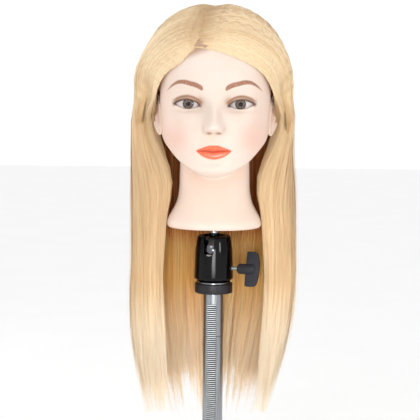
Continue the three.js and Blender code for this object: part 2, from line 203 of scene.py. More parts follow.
def bevelled(obj, width_mm, segments=2, angle=35):
    modifier = obj.modifiers.new("bevel", "BEVEL")
    modifier.width = width_mm * MM
    modifier.segments = segments
    modifier.limit_method = "ANGLE"
    modifier.angle_limit = math.radians(angle)
    modifier.harden_normals = False
    apply_modifiers(obj)
    obj.data.shade_smooth()
    obj.data.set_sharp_from_angle(angle=math.radians(40))


# ------------------------------------------------------------------ materials


class Look:
    """A node material round one Principled shader, with short ways to add the usual nodes."""

    def __init__(self, name, **sockets):
        self.material = bpy.data.materials.new(name)
        self.material.use_nodes = True
        self.nodes = self.material.node_tree.nodes
        self.links = self.material.node_tree.links
        self.shader = self.nodes["Principled BSDF"]
        for key, value in sockets.items():
            self.shader.inputs[key.replace("_", " ")].default_value = value

    def add(self, kind, inputs=None, **settings):
        node = self.nodes.new(kind)
        for key, value in settings.items():
            setattr(node, key, value)
        for key, value in (inputs or {}).items():
            if isinstance(value, bpy.types.NodeSocket):
                self.links.new(value, node.inputs[key])
            else:
                node.inputs[key].default_value = value
        return node

    def place(self, scale=(1, 1, 1)):
        coordinates = self.add("ShaderNodeTexCoord").outputs["Object"]
        mapping = self.add("ShaderNodeMapping", {"Vector": coordinates, "Scale": scale})
        return mapping.outputs["Vector"]

    def noise(self, scale, detail=4.0, roughness=0.5, stretch=(1, 1, 1), vector=None):
        inputs = {
            "Vector": vector or self.place(stretch),
            "Scale": scale,
            "Detail": detail,
            "Roughness": roughness,
        }
        return self.add("ShaderNodeTexNoise", inputs).outputs["Fac"]

    def ramp(self, factor, stops):
        node = self.add("ShaderNodeValToRGB", {"Fac": factor})
        elements = node.color_ramp.elements
        while len(elements) < len(stops):
            elements.new(0.5)
        for element, (position, colour) in zip(elements, stops):
            element.position = position
            element.color = (*colour, 1) if len(colour) == 3 else colour
        return node.outputs["Color"]

    def grey(self, factor, low, high, start=0.0, end=1.0):
        node = self.add(
            "ShaderNodeMapRange",
            {"Value": factor, "From Min": start, "From Max": end, "To Min": low, "To Max": high},
        )
        return node.outputs["Result"]

    def mix(self, factor, a, b):
        node = self.add("ShaderNodeMix", data_type="RGBA")
        for socket, value in ((node.inputs[0], factor), (node.inputs[6], a), (node.inputs[7], b)):
            if isinstance(value, bpy.types.NodeSocket):
                self.links.new(value, socket)
            elif isinstance(value, tuple):
                socket.default_value = (*value, 1)
            else:
                socket.default_value = value
        return node.outputs[2]

    def attribute(self, name):
        return self.add("ShaderNodeAttribute", attribute_name=name).outputs["Fac"]

    def math(self, operation, a, b=0.0):
        node = self.add("ShaderNodeMath", operation=operation)
        for socket, value in zip(node.inputs, (a, b)):
            if isinstance(value, bpy.types.NodeSocket):
                self.links.new(value, socket)
            else:
                socket.default_value = value
        return node.outputs[0]

    def feed(self, socket, value):
        self.links.new(value, self.shader.inputs[socket])

    def bump(self, height, strength, distance):
        node = self.add(
            "ShaderNodeBump", {"Height": height, "Strength": strength, "Distance": distance}
        )
        self.links.new(node.outputs["Normal"], self.shader.inputs["Normal"])


def linear(code):
    """A colour code such as 'F7EBD2' as linear RGB."""
    values = [int(code[i : i + 2], 16) / 255 for i in (0, 2, 4)]
    return tuple(v / 12.92 if v <= 0.04045 else ((v + 0.055) / 1.055) ** 2.4 for v in values)


def skin_look():
    look = Look("vinyl_skin", Roughness=0.42, Subsurface_Weight=0.1, Specular_IOR_Level=0.35)
    look.shader.inputs["Subsurface Radius"].default_value = (0.006, 0.0026, 0.0016)
    look.shader.inputs["Subsurface Scale"].default_value = 1.0
    tone = look.ramp(
        look.noise(28, 3, 0.5), [(0.3, linear("F0DACB")), (0.7, linear("F4E0D3"))]
    )
    mottled = look.mix(look.grey(look.noise(220, 2), 0, 0.1, 0.45, 0.75), tone, linear("EBCFBD"))
    colour = look.mix(look.attribute("shade"), mottled, linear("EBC2AB"))
    colour = look.mix(look.attribute("blush"), colour, linear("F0AE9C"))
    colour = look.mix(look.attribute("shadow"), colour, linear("A5744F"))
    brow_hair = look.noise(900, 2, 0.6, (1.0, 0.3, 0.35))
    brow = look.ramp(brow_hair, [(0.35, linear("8A5238")), (0.65, linear("B98062"))])
    colour = look.mix(look.attribute("brow"), colour, brow)
    lip = look.ramp(
        look.noise(420, 3, 0.6, (1.6, 1, 0.35)),
        [(0.3, linear("EE6A4A")), (0.7, linear("FA8662"))],
    )
    lip = look.mix(look.attribute("lip_line"), lip, linear("C9452F"))
    # Painted highlight along the lower lip.
    lip = look.mix(look.attribute("gloss"), lip, linear("FFD2C2"))
    colour = look.mix(look.attribute("lips"), colour, lip)
    colour = look.mix(look.attribute("liner"), colour, linear("5A3A2C"))
    look.feed("Base Color", colour)
    gloss = look.math("MULTIPLY", look.attribute("lips"), 0.22)
    rough = look.math("SUBTRACT", look.grey(look.noise(60, 3), 0.38, 0.47), gloss)
    look.feed("Roughness", rough)
    fine = look.noise(1500, 2, 0.5)
    look.bump(fine, 0.12, 0.0003)
    return look.material


def hair_look(name, shades, dull, sunk):
    """Shades run from the darkest, painted as shade on the deepest strands, at the left of the map, to the
    lightest ones.

    dull greys the hanging length; sunk is how much darker the strands are painted above the ball joint, as
    painted shade.
    """
    look = Look(name, Roughness=0.4, Specular_IOR_Level=0.2)
    uv = look.add("ShaderNodeUVMap", uv_map="OFBake").outputs["UV"]
    split = look.add("ShaderNodeSeparateXYZ", {"Vector": uv})
    across, along = split.outputs["X"], split.outputs["Y"]
    stretched = look.add("ShaderNodeMapping", {"Vector": uv, "Scale": (90, 5, 1)}).outputs["Vector"]
    streak = look.noise(1.0, 3, 0.6, vector=stretched)
    tone = look.math("ADD", across, look.grey(streak, -0.12, 0.12))
    # Painted light and shade: a lighter tone at the crown, a darker one down the hanging length.
    tone = look.math("ADD", tone, look.grey(along, 0.08, -0.1, 0.12, 0.5))
    # Painted shade above the ball joint, by sunk.
    tone = look.math("SUBTRACT", tone, look.grey(along, sunk, 0, 0.45, 0.56))
    colour = look.mix(look.grey(along, 0, dull, 0.15, 0.45), look.ramp(tone, shades), linear("CCAC86"))
    # Painted shade at the roots.
    colour = look.mix(look.grey(along, 0.3, 0, 0.0, 0.04), colour, linear("DDB07C"))
    colour = look.mix(look.grey(along, 0, 0.7, 0.7, 1.0), colour, linear("FBF2DE"))
    look.feed("Base Color", colour)
    look.feed("Roughness", look.grey(streak, 0.32, 0.5))
    return look.material


def plain_look(name, low, high, roughness, metallic=0.0, scale=60, bump=0.05, spread=0.06, **sockets):
    """Moulded or cast material: two close shades, uneven gloss and a fine surface."""
    look = Look(name, Metallic=metallic, **sockets)
    pattern = look.noise(scale, 4, 0.6)
    look.feed("Base Color", look.ramp(pattern, [(0.3, linear(low)), (0.7, linear(high))]))
    look.feed("Roughness", look.grey(look.noise(scale * 2.3, 3), roughness - spread, roughness + spread))
    look.bump(look.noise(scale * 12, 2), bump, 0.0002)
    return look.material


def turned_metal_look(name, low, high, roughness, stretch):
    """Drawn or turned metal with fine lines along one direction."""
    look = Look(name, Metallic=1.0)
    lines = look.noise(500, 3, 0.6, stretch)
    look.feed("Base Color", look.ramp(lines, [(0.3, linear(low)), (0.7, linear(high))]))
    look.feed("Roughness", look.grey(lines, roughness - 0.08, roughness + 0.1))
    look.bump(lines, 0.08, 0.0001)
    return look.material


def rack_look():
    """Bright tooth crests over grooves darkened as painted shade."""
    look = Look("rack_steel", Metallic=1.0)
    lines = look.noise(500, 3, 0.6, (0.1, 1, 1))
    steel = look.ramp(lines, [(0.3, linear("C4C7C9")), (0.7, linear("E2E4E5"))])
    look.feed("Base Color", look.mix(look.attribute("groove"), steel, linear("2C2C2F")))
    look.feed("Roughness", look.grey(lines, 0.25, 0.4))
    look.bump(lines, 0.08, 0.0001)
    return look.material


def iris_look():
    look = Look("iris", Roughness=0.35, Specular_IOR_Level=0.25)
    radius = look.attribute("radius")
    angle = look.attribute("turn")
    vector = look.add("ShaderNodeCombineXYZ", {"X": angle, "Y": radius}).outputs[0]
    stretched = look.add("ShaderNodeMapping", {"Vector": vector, "Scale": (26, 2.2, 1)}).outputs[0]
    fibres = look.noise(1.0, 4, 0.65, vector=stretched)
    ring = look.ramp(
        radius,
        [
            (0.0, linear("060404")),
            (0.34, linear("0A0605")),
            (0.42, linear("4A2E24")),
            (0.64, linear("78655B")),
            (0.82, linear("5C4941")),
            (1.0, linear("1E1210")),
        ],
    )
    pale = look.math("MULTIPLY", look.grey(fibres, 0, 0.3, 0.42, 0.7), look.grey(radius, 0, 1, 0.36, 0.42))
    look.feed("Base Color", look.mix(pale, ring, linear("B7A698")))
    look.bump(fibres, 0.2, 0.0002)
    return look.material


def eye_white_look():
    look = Look("eye_white", Roughness=0.15, Specular_IOR_Level=0.4)
    cloudy = look.noise(160, 3)
    white = look.ramp(cloudy, [(0.3, linear("CBC5C2")), (0.7, linear("D8D2CF"))])
    look.feed("Base Color", look.mix(look.attribute("corner"), white, linear("C8958A")))
    look.bump(look.noise(700, 2), 0.05, 0.0001)
    return look.material


def cornea_look():
    look = Look("cornea", Roughness=0.02, Transmission_Weight=1.0, IOR=1.2)
    haze = look.noise(300, 2)
    look.feed("Base Color", look.ramp(haze, [(0.3, (0.97, 0.97, 0.97)), (0.7, (1.0, 1.0, 1.0))]))
    return look.material


# ------------------------------------------------------------------ the head's form

# Height from the eye line: half width, front, back.
HEAD = [
    (-90, 36, 77, 40), (-82, 42, 80.5, 43), (-74, 47, 82, 46), (-57, 57.5, 83, 60),
    (-44, 63.5, 85.5, 76), (-33, 65.5, 86, 83), (-24, 66.3, 85.5, 88), (0, 67, 84.5, 96),
    (19, 68.6, 87, 99), (39, 72, 87.5, 99), (56, 74, 85, 97), (70, 72.5, 80, 92),
    (83, 66.5, 71, 84), (94, 57, 59, 72), (103, 44, 43, 56), (110, 27, 23, 36), (113.5, 4, 3, 5),
]
# Height above the neck's bottom plane: half width, front, back.
NECK = [
    (0, 56.4, 54, 54.5), (1.5, 57.6, 55.4, 56), (4.5, 58, 56, 57), (9, 57.2, 55, 56.5),
    (14, 54.8, 52, 55), (21, 50.8, 47.5, 52.5), (29, 46.8, 43, 50), (38, 44.4, 39.5, 48.5),
    (48, 43.2, 37.5, 47.5), (62, 42.8, 36.5, 48), (80, 42.3, 36, 50), (110, 42, 36, 52),
]
# Angle from the front: height of the jaw's lower edge from the eye line.
JAW = [
    (0, -91), (16, -89.4), (28, -85.2), (42, -78.5), (56, -68.5), (70, -59), (85, -47),
    (100, -45), (120, -52), (150, -60), (180, -64),
]
SECTION_POWER = 2.2


def section_radius(angle, half_width, front, back):
    side = np.abs(np.sin(angle))
    ahead = np.cos(angle)
    depth = np.where(ahead > 0, front, back)
    total = (side / half_width) ** SECTION_POWER + (np.abs(ahead) / depth) ** SECTION_POWER
    return total ** (-1 / SECTION_POWER)


def bald_radius(angle, height):
    """Distance of the bald head's surface from the Z axis. Height is from the eye line."""
    full = section_radius(angle, *curve_through(HEAD, height))
    (edge,) = curve_through(JAW, np.degrees(np.abs((angle + np.pi) % (2 * np.pi) - np.pi)))
    t = np.clip((height - edge) / 13, 0, 1)
    head = full * np.sqrt(np.clip(1 - (1 - t) ** 2, 0, 1))
    above_base = height + EYE_LINE - NECK_BASE
    neck = section_radius(angle, *curve_through(NECK, above_base))
    joined = soft_max(head, neck, 5)
    return np.where(height > 20, full, joined)


NOSE_RIDGE = [
    (-50, 0), (-46, 0.2), (-42, 0.8), (-38, 2.2), (-35.5, 4.6), (-33, 9), (-30.5, 15), (-27.5, 19.6),
    (-24.5, 21.3), (-21, 20.3), (-17, 17.2), (-11, 12.2), (-4, 6.6), (2, 3), (8, 0.8), (14, 0), (20, 0),
]
NOSE_WIDTH = [
    (-50, 5), (-42, 5), (-36, 6.5), (-33, 8), (-29, 9.2), (-25, 9.4), (-20, 8.2), (-12, 6.6),
    (-4, 6.2), (4, 7.5), (20, 9),
]
MOUTH_HALF = 21.0
MOUTH_LINE = -54.6  # height of the line between the lips
LIP_TOP = 7.8
LIP_BOTTOM = 9.2


def lip_edges(x):
    """Heights of the upper edge, the line between and the lower edge of the lips."""
    t = np.clip(np.abs(x) / MOUTH_HALF, 0, 1)
    line = MOUTH_LINE + 0.6 * t**2 - 0.5 * bell(x, 5)
    bow = 0.9 * bell(x, 2.6)
    upper = line + (LIP_TOP + 0.5) * (1 - t**1.35) - bow
    lower = line - LIP_BOTTOM * (1 - t**2.1) ** 0.85
    return upper, line, lower


def eye_edges(u):
    """Heights of the upper and lower lid edges; u runs outwards from the face's centre line."""
    inner, outer = EYE_OUT - 14.6, EYE_OUT + 16.2
    t = np.clip((u - inner) / (outer - inner), 0, 1)
    middle = -2.6 + 2.4 * t
    arch = np.sin(np.pi * t**0.92)
    upper = middle + 6.1 * arch**0.8
    lower = middle - 4.5 * np.sin(np.pi * t**1.08) ** 0.9
    inside = (u > inner) & (u < outer)
    return upper, lower, inside, t


def face_relief(x, h):
    """How far the face stands forward of the head's plain form."""
    side = np.abs(x)
    (ridge,) = curve_through(NOSE_RIDGE, h)
    (width,) = curve_through(NOSE_WIDTH, h)
    forward = ridge * np.exp(-((side / width) ** 2.3))
    forward += 8.0 * blob(side, h, 7.7, -29, 3.9, 5.2)
    forward -= 2.6 * blob(side, h, 5.3, -33.2, 2.5, 1.8)
    forward -= 1.2 * blob(side, h, 14.0, -28, 2.4, 5)
    forward -= 0.9 * blob(side, h, 0, -41, 2.4, 5)
    upper, line, lower = lip_edges(x)
    reach = np.clip(1 - (side / (MOUTH_HALF + 0.5)) ** 2, 0, 1) ** 0.6
    up = np.clip((h - line) / np.maximum(upper - line, 0.4), 0, 3)
    down = np.clip((line - h) / np.maximum(line - lower, 0.4), 0, 3)
    above = np.interp(up, [0, 0.15, 0.45, 0.9, 1.1, 2.2, 3], [0.05, 0.6, 1, 0.72, 0.45, 0.1, 0])
    below = np.interp(down, [0, 0.12, 0.45, 0.85, 1.1, 1.5, 3], [0.05, 0.66, 1, 0.72, 0.3, 0, 0])
    forward += reach * np.where(h >= line, 4.6 * above, 5.4 * below)
    forward += 2.4 * blob(side, h, 0, -52, 24, 14)
    forward -= 2.6 * blob(side, h, 0, -67.5, 15, 4.5)
    forward += 3.6 * blob(side, h, 0, -78, 17, 9)
    forward += 3.4 * blob(side, h, 37, -30, 20, 20)
    forward += 1.6 * blob(side, h, 27, 19, 22, 7)
    forward -= 8.2 * blob(side, h, 26, -1, 15, 12)
    forward -= 4.6 * blob(side, h, 16.5, -1, 7, 8)
    forward -= 2.0 * blob(side, h, 60, 22, 13, 20)
    return forward


EYE_AXES = (18.0, 12.0, 14.5)


def eyeball_front(x, h, extra=0.0):
    """Forward distance of the eyeball's surface, grown by extra, or far back outside it."""
    rx, ry, rz = (axis + extra for axis in EYE_AXES)
    inside = 1 - ((np.abs(x) - EYE_OUT) / rx) ** 2 - (h / rz) ** 2
    centre = EYE_FRONT - EYE_AXES[1]
    return np.where(inside > 0, centre + ry * np.sqrt(np.clip(inside, 0, None)), -1e3)


def face_forward(x, h, plain_forward):
    sculpted = plain_forward + face_relief(x, h)
    lids = eyeball_front(x, h, 1.3)
    upper = eye_edges(np.abs(x))[0]
    near = blob(np.abs(x), h, EYE_OUT, 0, 24, 15)
    with_lids = np.where(near > 0.1, soft_max(sculpted, lids, 2.2), sculpted)
    crease = 0.9 * np.exp(-(((h - upper - 4.2) / 0.9) ** 2)) * bell(np.abs(x) - EYE_OUT, 13)
    return with_lids - crease


def scalp_edge(x, y):
    """Height, from the eye line, of the hairline as a function of place over the head."""
    front = 70 - 14 * smooth(15, 55, np.abs(x)) - 10 * smooth(50, 66, np.abs(x))
    back = -44
    side = 12
    ahead = smooth(-60, -5, y)
    behind = smooth(5, 70, y)
    return front * (1 - ahead) + side * ahead * (1 - behind) + back * behind


def hairline(x):
    """Height of the front hairline from the eye line."""
    return np.interp(np.abs(x), [0, 8, 41, 59, 67, 76], [66, 61, 48.5, 35.5, 22, 6])


def head_grid():
    heights = np.concatenate([
        np.arange(NECK_BASE - EYE_LINE, -93, 2.2),
        np.arange(-93, 36, 0.75),
        np.arange(36, 104, 2.4),
        np.linspace(104.5, 113.5, 7),
    ])
    front = np.radians(np.arange(-50, 50.01, 0.55))
    flank = np.radians(np.arange(51.2, 90, 1.3))
    rear = np.radians(np.arange(92, 268.1, 4.0))
    angles = np.concatenate([front, flank, rear, 2 * np.pi - flank[::-1]])
    return heights, angles


def head_surface():
    heights, angles = head_grid()
    h, a = np.meshgrid(heights, angles, indexing="ij")
    radius = bald_radius(a, h)
    x = radius * np.sin(a)
    # Rows near a lid's edge are moved onto it, so that the opening has a clean rim.
    upper, lower, inside, _ = eye_edges(np.abs(x))
    facing = (np.cos(a) > 0.2) & inside
    for edge in (upper, lower):
        h = np.where(facing & (np.abs(h - edge) < 0.38), edge, h)
    plain_forward = radius * np.cos(a)
    forward = np.where(np.cos(a) > 0.05, face_forward(x, h, plain_forward), plain_forward)
    return x, -forward, h, a


BROW = [  # (distance out from the centre line, height) along the brow's middle
    (10, 15), (13, 17.5), (20, 21.5), (28, 23.8), (37, 25.6), (43, 25), (49, 21.8), (55, 16.4),
    (58, 13),
]


def paint(x, y, h):
    """The painted features, painted shade and shadow, and a painted lip highlight, as masks from 0 to 1 at
    each point of the skin.
    """
    side = np.abs(x)
    face = smooth(10, -20, y)
    upper, line, lower = lip_edges(x)
    rim = 0.55
    lips = smooth(-rim, rim, upper - h) * smooth(-rim, rim, h - lower)
    lips *= smooth(MOUTH_HALF + 0.6, MOUTH_HALF - 0.8, side) * face
    lip_line = np.exp(-(((h - line) / 0.8) ** 2)) * smooth(21, 16, side) * face
    lid_top, lid_low, _, t = eye_edges(side)
    span = smooth(EYE_OUT - 17, EYE_OUT - 13, side) * smooth(EYE_OUT + 20.5, EYE_OUT + 15, side)
    wing = 0.5 + 0.8 * t
    liner = np.exp(-((np.clip(h - lid_top, -9, 9) / (1.7 * wing + 0.5)) ** 2)) * span * face
    low_line = 0.55 * np.exp(-(((h - lid_low) / 0.8) ** 2)) * span * smooth(0.2, 0.7, t) * face
    crease = np.exp(-(((h - lid_top - 4.4) / 1.3) ** 2))
    crease *= smooth(EYE_OUT - 19, EYE_OUT - 10, side) * smooth(EYE_OUT + 21, EYE_OUT + 12, side)
    lid_shadow = 0.55 * smooth(8, 0.5, h - lid_top) * smooth(-1, 1.5, h - lid_top) * span
    corner_shadow = 0.6 * blob(side, h, EYE_OUT - 14, 2.5, 4.5, 5.5)
    under = 0.22 * blob(side, h, EYE_OUT, -9, 14, 2.2)
    shadow = np.clip(0.85 * crease + lid_shadow + corner_shadow + under, 0, 0.9) * face
    (middle,) = curve_through(BROW, side)
    half = np.interp(side, [12.3, 14.5, 20, 34, 44, 52, 56.5], [0.6, 2.8, 2.9, 2.5, 1.9, 1.1, 0.15])
    brow = smooth(0.7, -0.5, np.abs(h - middle) - half) * smooth(12, 14, side) * smooth(57.5, 54.5, side)
    blush = 0.5 * blob(side, h, 45, -40, 17, 17) * face
    nostril = blob(side, h, 5.6, -33.4, 3.3, 1.6)
    wing_side = 0.2 * blob(side, h, 12.2, -29.5, 1.5, 4)
    shadow = np.clip(shadow + nostril * face + wing_side * face, 0, 0.95)
    (jaw,) = curve_through(JAW, np.degrees(np.arctan2(side, -y)))
    under_chin = smooth(1, -3, h - jaw) * np.exp(-np.clip(jaw - h, 0, None) / 22)
    on_neck = 0.22 * smooth(0, -6, h - jaw)
    shade = np.clip(0.5 * smooth(36, 66, side) * smooth(-100, -80, h) + 0.55 * under_chin + on_neck, 0, 1)
    crest = 0.5 * (line + lower) - 0.4
    # A painted highlight along the crest of the lower lip.
    gloss = 0.6 * np.exp(-(((h - crest) / 1.1) ** 2)) * bell(x - 4, 9) * lips
    # Painted shadow along the hairline, where the hair shades the skin.
    roots = 0.75 * smooth(-3, 7, h - hairline(x)) * smooth(-6, -30, y) * smooth(5, 20, h)
    shadow = np.maximum(shadow, roots)
    return {
        "lips": lips, "lip_line": 0.8 * lip_line * lips, "liner": np.clip(liner + low_line, 0, 1) * 0.95,
        "gloss": gloss, "shadow": shadow, "brow": 0.92 * brow * face, "blush": blush, "shade": shade,
    }


def build_skin(material, scalp_material):
    x, y, h, _ = head_surface()
    rows, columns = x.shape
    points = np.stack([x, y, h + EYE_LINE], -1).reshape(-1, 3)
    faces = grid_faces(rows, columns, closed=True)
    masks = {key: value.reshape(-1) for key, value in paint(x, y, h).items()}
    fx, fy, fh = (points[faces].mean(1) - [0, 0, EYE_LINE]).T
    upper, lower, inside, _ = eye_edges(np.abs(fx))
    open_eye = inside & (fh < upper) & (fh > lower) & (fy < -40)
    above = fh > scalp_edge(fx, fy) + 6
    skin_faces = faces[~open_eye & ~above]
    scalp_faces = faces[above]
    skin = trimmed("face_and_neck", points, skin_faces, material, masks)
    add_neck_rim(skin)
    thicken(skin, 1.2)
    scalp = trimmed("scalp", points, scalp_faces, scalp_material, {})
    for obj, node, slot in ((skin, "face_neck_skin", "skin"), (scalp, "scalp_cap", "scalp")):
        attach(obj, "head")
        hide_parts(node)


def trimmed(name, points, faces, material, masks):
    """An object with only the points that its faces use."""
    used = np.unique(faces)
    number = np.zeros(len(points), int)
    number[used] = np.arange(len(used))
    kept = {key: value[used] for key, value in masks.items()}
    return make_object(name, points[used], number[faces], material, attributes=kept)


def add_neck_rim(skin):
    """Turns the skin in under the neck, round the base plate."""
    mesh = bmesh.new()
    mesh.from_mesh(skin.data)
    floor = NECK_BASE * MM
    ring = [e for e in mesh.edges if e.is_boundary and all(abs(v.co.z - floor) < 1e-6 for v in e.verts)]
    inner = high_of("neck_base_plate")[0] + 0.4
    for radius, rise in ((inner + 1.0, 0.0), (inner, 0.8), (inner, 9.0)):
        made = bmesh.ops.extrude_edge_only(mesh, edges=ring)["geom"]
        ring = [e for e in made if isinstance(e, bmesh.types.BMEdge)]
        for vertex in {v for e in ring for v in e.verts}:
            direction = Vector((vertex.co.x, vertex.co.y, 0)).normalized() * radius * MM
            vertex.co = Vector((direction.x, direction.y, floor + rise * MM))
    bmesh.ops.recalc_face_normals(mesh, faces=mesh.faces)
    mesh.to_mesh(skin.data)
    mesh.free()
    skin.data.shade_smooth()


def thicken(obj, depth_mm):
    modifier = obj.modifiers.new("thickness", "SOLIDIFY")
    modifier.thickness = depth_mm * MM
    modifier.offset = -1
    apply_modifiers(obj)


# ------------------------------------------------------------------ ears

EAR_OUTLINE = [  # backwards and upwards from the ear's hollow
    (-9, 10), (-7.5, 20), (-1, 27), (8, 28.5), (15, 23), (17, 12), (14.5, 0), (9.5, -11),
    (4, -20), (-3, -24.5), (-8.5, -21), (-9.5, -12), (-10, -2),
]


def ear_points(side):
    """A bowl with a rolled rim, drawn as rings from the hollow to the rim and round the back."""
    turns = np.linspace(0, 1, 73)[:-1]
    outline = np.array(EAR_OUTLINE, float)
    count = len(outline)
    at = turns * count
    i = at.astype(int)
    f = (at - i)[:, None]
    edge = catmull_rom(*(outline[(i + k) % count] for k in (-1, 0, 1, 2)), f)
    hollow = np.array([-1.5, -2.0])
    rear = smooth(-8, 6, edge[:, 0]) * smooth(-22, -8, edge[:, 1])
    rings = []
    for t, rise, rim in (
        (0.04, -5, 0), (0.2, -5.2, 0), (0.34, -4, 0), (0.45, -1.4, 0.4), (0.56, 0.8, 0.9),
        (0.66, 0.2, 0.4), (0.76, -1.4, -0.8), (0.84, -0.6, 0.2), (0.91, 1.0, 1.0), (0.97, 1.2, 1.1),
        (1.0, 0, 0.4), (0.97, -2, -1.2), (0.88, -3.4, -2.2), (0.7, -6, -2), (0.4, -9, -1), (0.1, -10, 0),
    ):
        flat = hollow + (edge - hollow) * t
        lift = rise + rim * rear
        rings.append(np.column_stack([lift, flat]))
    local = np.array(rings)
    out, back, up = local[..., 0], local[..., 1], local[..., 2]
    flare = math.radians(24)
    lean = math.radians(10)
    rearward = back * math.cos(lean) + up * math.sin(lean)
    upward = up * math.cos(lean) - back * math.sin(lean)
    x = side * (70.5 + out * math.cos(flare) + rearward * math.sin(flare))
    y = 5 + rearward * math.cos(flare) - out * math.sin(flare)
    z = EYE_LINE - 17 + upward
    return np.stack([x, y, z], -1)


def build_ear(side, name, material):
    grid = ear_points(side)
    rows, columns = grid.shape[:2]
    faces = grid_faces(rows, columns, closed=True)
    if side < 0:
        faces = faces[:, ::-1]
    caps = [list(range(columns)), [(rows - 1) * columns + k for k in range(columns)][::-1]]
    if side < 0:
        caps = [cap[::-1] for cap in caps]
    points = grid.reshape(-1, 3)
    count = len(points)
    zero = np.zeros(count)
    ring_depth = np.array([1, 1, 0.8, 0.4, 0, 0.1, 0.7, 0.3, 0, 0, 0, 0, 0, 0, 0, 0])
    depth = np.tile(ring_depth[:, None], (1, columns))
    masks = {key: zero for key in ("lips", "lip_line", "gloss", "liner", "brow", "blush")}
    masks["shadow"] = 0.25 * depth.reshape(-1)
    masks["shade"] = 0.25 + 0.3 * depth.reshape(-1)
    ear = make_object(name, points, [list(f) for f in faces] + caps, material, attributes=masks)
    outward_faces(ear)
    modifier = ear.modifiers.new("smooth", "SUBSURF")
    modifier.levels = modifier.render_levels = 1
    apply_modifiers(ear)
    ear.data.shade_smooth()
    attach(ear, "head")


# ------------------------------------------------------------------ eyes


def build_eye(side, name, looks):
    columns, rows = 64, 40
    theta = np.linspace(0.02, np.pi - 0.02, rows)
    phi = np.linspace(0, 2 * np.pi, columns, endpoint=False)
    t, p = np.meshgrid(theta, phi, indexing="ij")
    rx, ry, rz = EYE_AXES
    x = side * EYE_OUT + rx * np.sin(t) * np.cos(p)
    z = EYE_LINE + rz * np.sin(t) * np.sin(p)
    y = -(EYE_FRONT - ry) - ry * np.cos(t)
    points = np.stack([x, y, z], -1).reshape(-1, 3)
    faces = capped_faces(rows, columns)
    corner = 0.8 * smooth(9, 16, np.abs(x - side * EYE_OUT)).reshape(-1)
    ball = make_object(f"eyeball_{name}", points, faces, looks["white"], attributes={"corner": corner})

    radii = np.linspace(0, 1, 14)
    turns = np.linspace(0, 2 * np.pi, 48, endpoint=False)
    r, q = np.meshgrid(radii, turns, indexing="ij")
    reach = 6.3
    ix = side * EYE_OUT + reach * r * np.cos(q)
    iz = EYE_LINE + reach * r * np.sin(q)
    surface = eyeball_front(ix, iz - EYE_LINE)
    iy = -(surface + 0.12 + 0.25 * smooth(1, 0.7, r) - 0.2 * bell(r, 0.45))
    turn = (np.abs(((q / (2 * np.pi)) * 2) % 2 - 1)).reshape(-1)
    iris_points = np.stack([ix, iy, iz], -1).reshape(-1, 3)
    iris_faces = grid_faces(len(radii), len(turns), closed=True)
    iris = make_object(
        f"iris_disc_{name}", iris_points, iris_faces, looks["iris"],
        attributes={"radius": r.reshape(-1), "turn": turn},
    )

    dome = 6.7
    cx = side * EYE_OUT + dome * r * np.cos(q)
    cz = EYE_LINE + dome * r * np.sin(q)
    cy = -(eyeball_front(cx, cz - EYE_LINE) + 0.05 + 1.3 * (1 - r**2))
    cornea_points = np.stack([cx, cy, cz], -1).reshape(-1, 3)
    cornea = make_object(f"cornea_dome_{name}", cornea_points, iris_faces, looks["cornea"])
    thicken(cornea, 0.08)
    for obj, node, slot in (
        (ball, "eye_white_", "eye_white"), (iris, "iris_", "iris"), (cornea, "cornea_", "cornea"),
    ):
        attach(obj, "head")
        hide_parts(node + name)


def build_lashes(side, name, material):
    """Short curved lashes along the upper lid."""
    rng = np.random.default_rng(11)
    lines = []
    steps = np.linspace(0, 1, 5)
    for t in np.linspace(0.06, 1, 46):
        u = EYE_OUT - 12 + 27.6 * t + rng.normal(0, 0.15)
        h = float(eye_edges(np.array([u]))[0][0]) + 0.1
        forward = max(float(eyeball_front(np.array([u]), np.array([h]), 1.5)[0]), EYE_FRONT - 9)
        length = (2.0 + 2.6 * t) * rng.uniform(0.8, 1.1)
        fan = 1.1 * (t - 0.42) + rng.normal(0, 0.08)
        x = side * (u + length * steps * math.sin(fan))
        y = -(forward + 0.75 * length * np.sin(1.3 * steps))
        z = EYE_LINE + h + length * (0.75 * steps**2 - 0.18 * steps)
        lines.append(np.stack([x, y, z], -1))
    lines = np.array(lines)
    forward_up = np.broadcast_to([0.0, -1.0, 0.3], lines.shape)
    sides = unit(np.cross(np.gradient(lines, axis=1), forward_up))
    widths = np.tile(0.2 * (1 - 0.85 * steps), (len(lines), 1))
    tones = np.full(len(lines), 0.5)
    lashes = ribbon_object(f"lashes_{name}", lines, sides, widths, tones, steps, material)
    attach(lashes, "head")


def build_liner(material):
    """The foam liner: the head's form drawn in, with hollows behind the eyes."""
    heights = np.linspace(NECK_BASE - EYE_LINE + 34, 104, 44)
    angles = np.radians(np.arange(0, 360, 5))
    h, a = np.meshgrid(heights, angles, indexing="ij")
    radius = np.maximum(bald_radius(a, h) - 9 - 12 * smooth(90, 104, h), 5)
    x = radius * np.sin(a)
    forward = radius * np.cos(a)
    behind_eye = blob(np.abs(x), h, EYE_OUT, 0, 24, 20) > 0.35
    forward = np.where(behind_eye & (forward > 0), np.minimum(forward, EYE_FRONT - 26), forward)
    rows, columns = x.shape
    faces = capped_faces(rows, columns)
    points = np.stack([x, -forward, h + EYE_LINE], -1).reshape(-1, 3)
    liner = make_object("foam_liner", points, faces, material)
    outward_faces(liner)
    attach(liner, "head")
    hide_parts("inner_liner")


# ------------------------------------------------------------------ hair

HAIR_CENTRE = np.array([0.0, 5.0, EYE_LINE + 21])
HAIR_SURFACE = np.array([93.0, 104.0, 99.5])  # half axes of the dressed hair
HAIR_ROOTS = np.array([77.0, 95.0, 95.0])  # half axes of the scalp
HAIR_POWER = 2.2

PART = [  # the parting, from the forehead to the crown
    (-17, -83.5, 581), (-18, -74, 592), (-16, -58, 608), (-11, -36, 619.5),
    (-3, -10, 626), (2, 16, 627), (2, 38, 621),
]

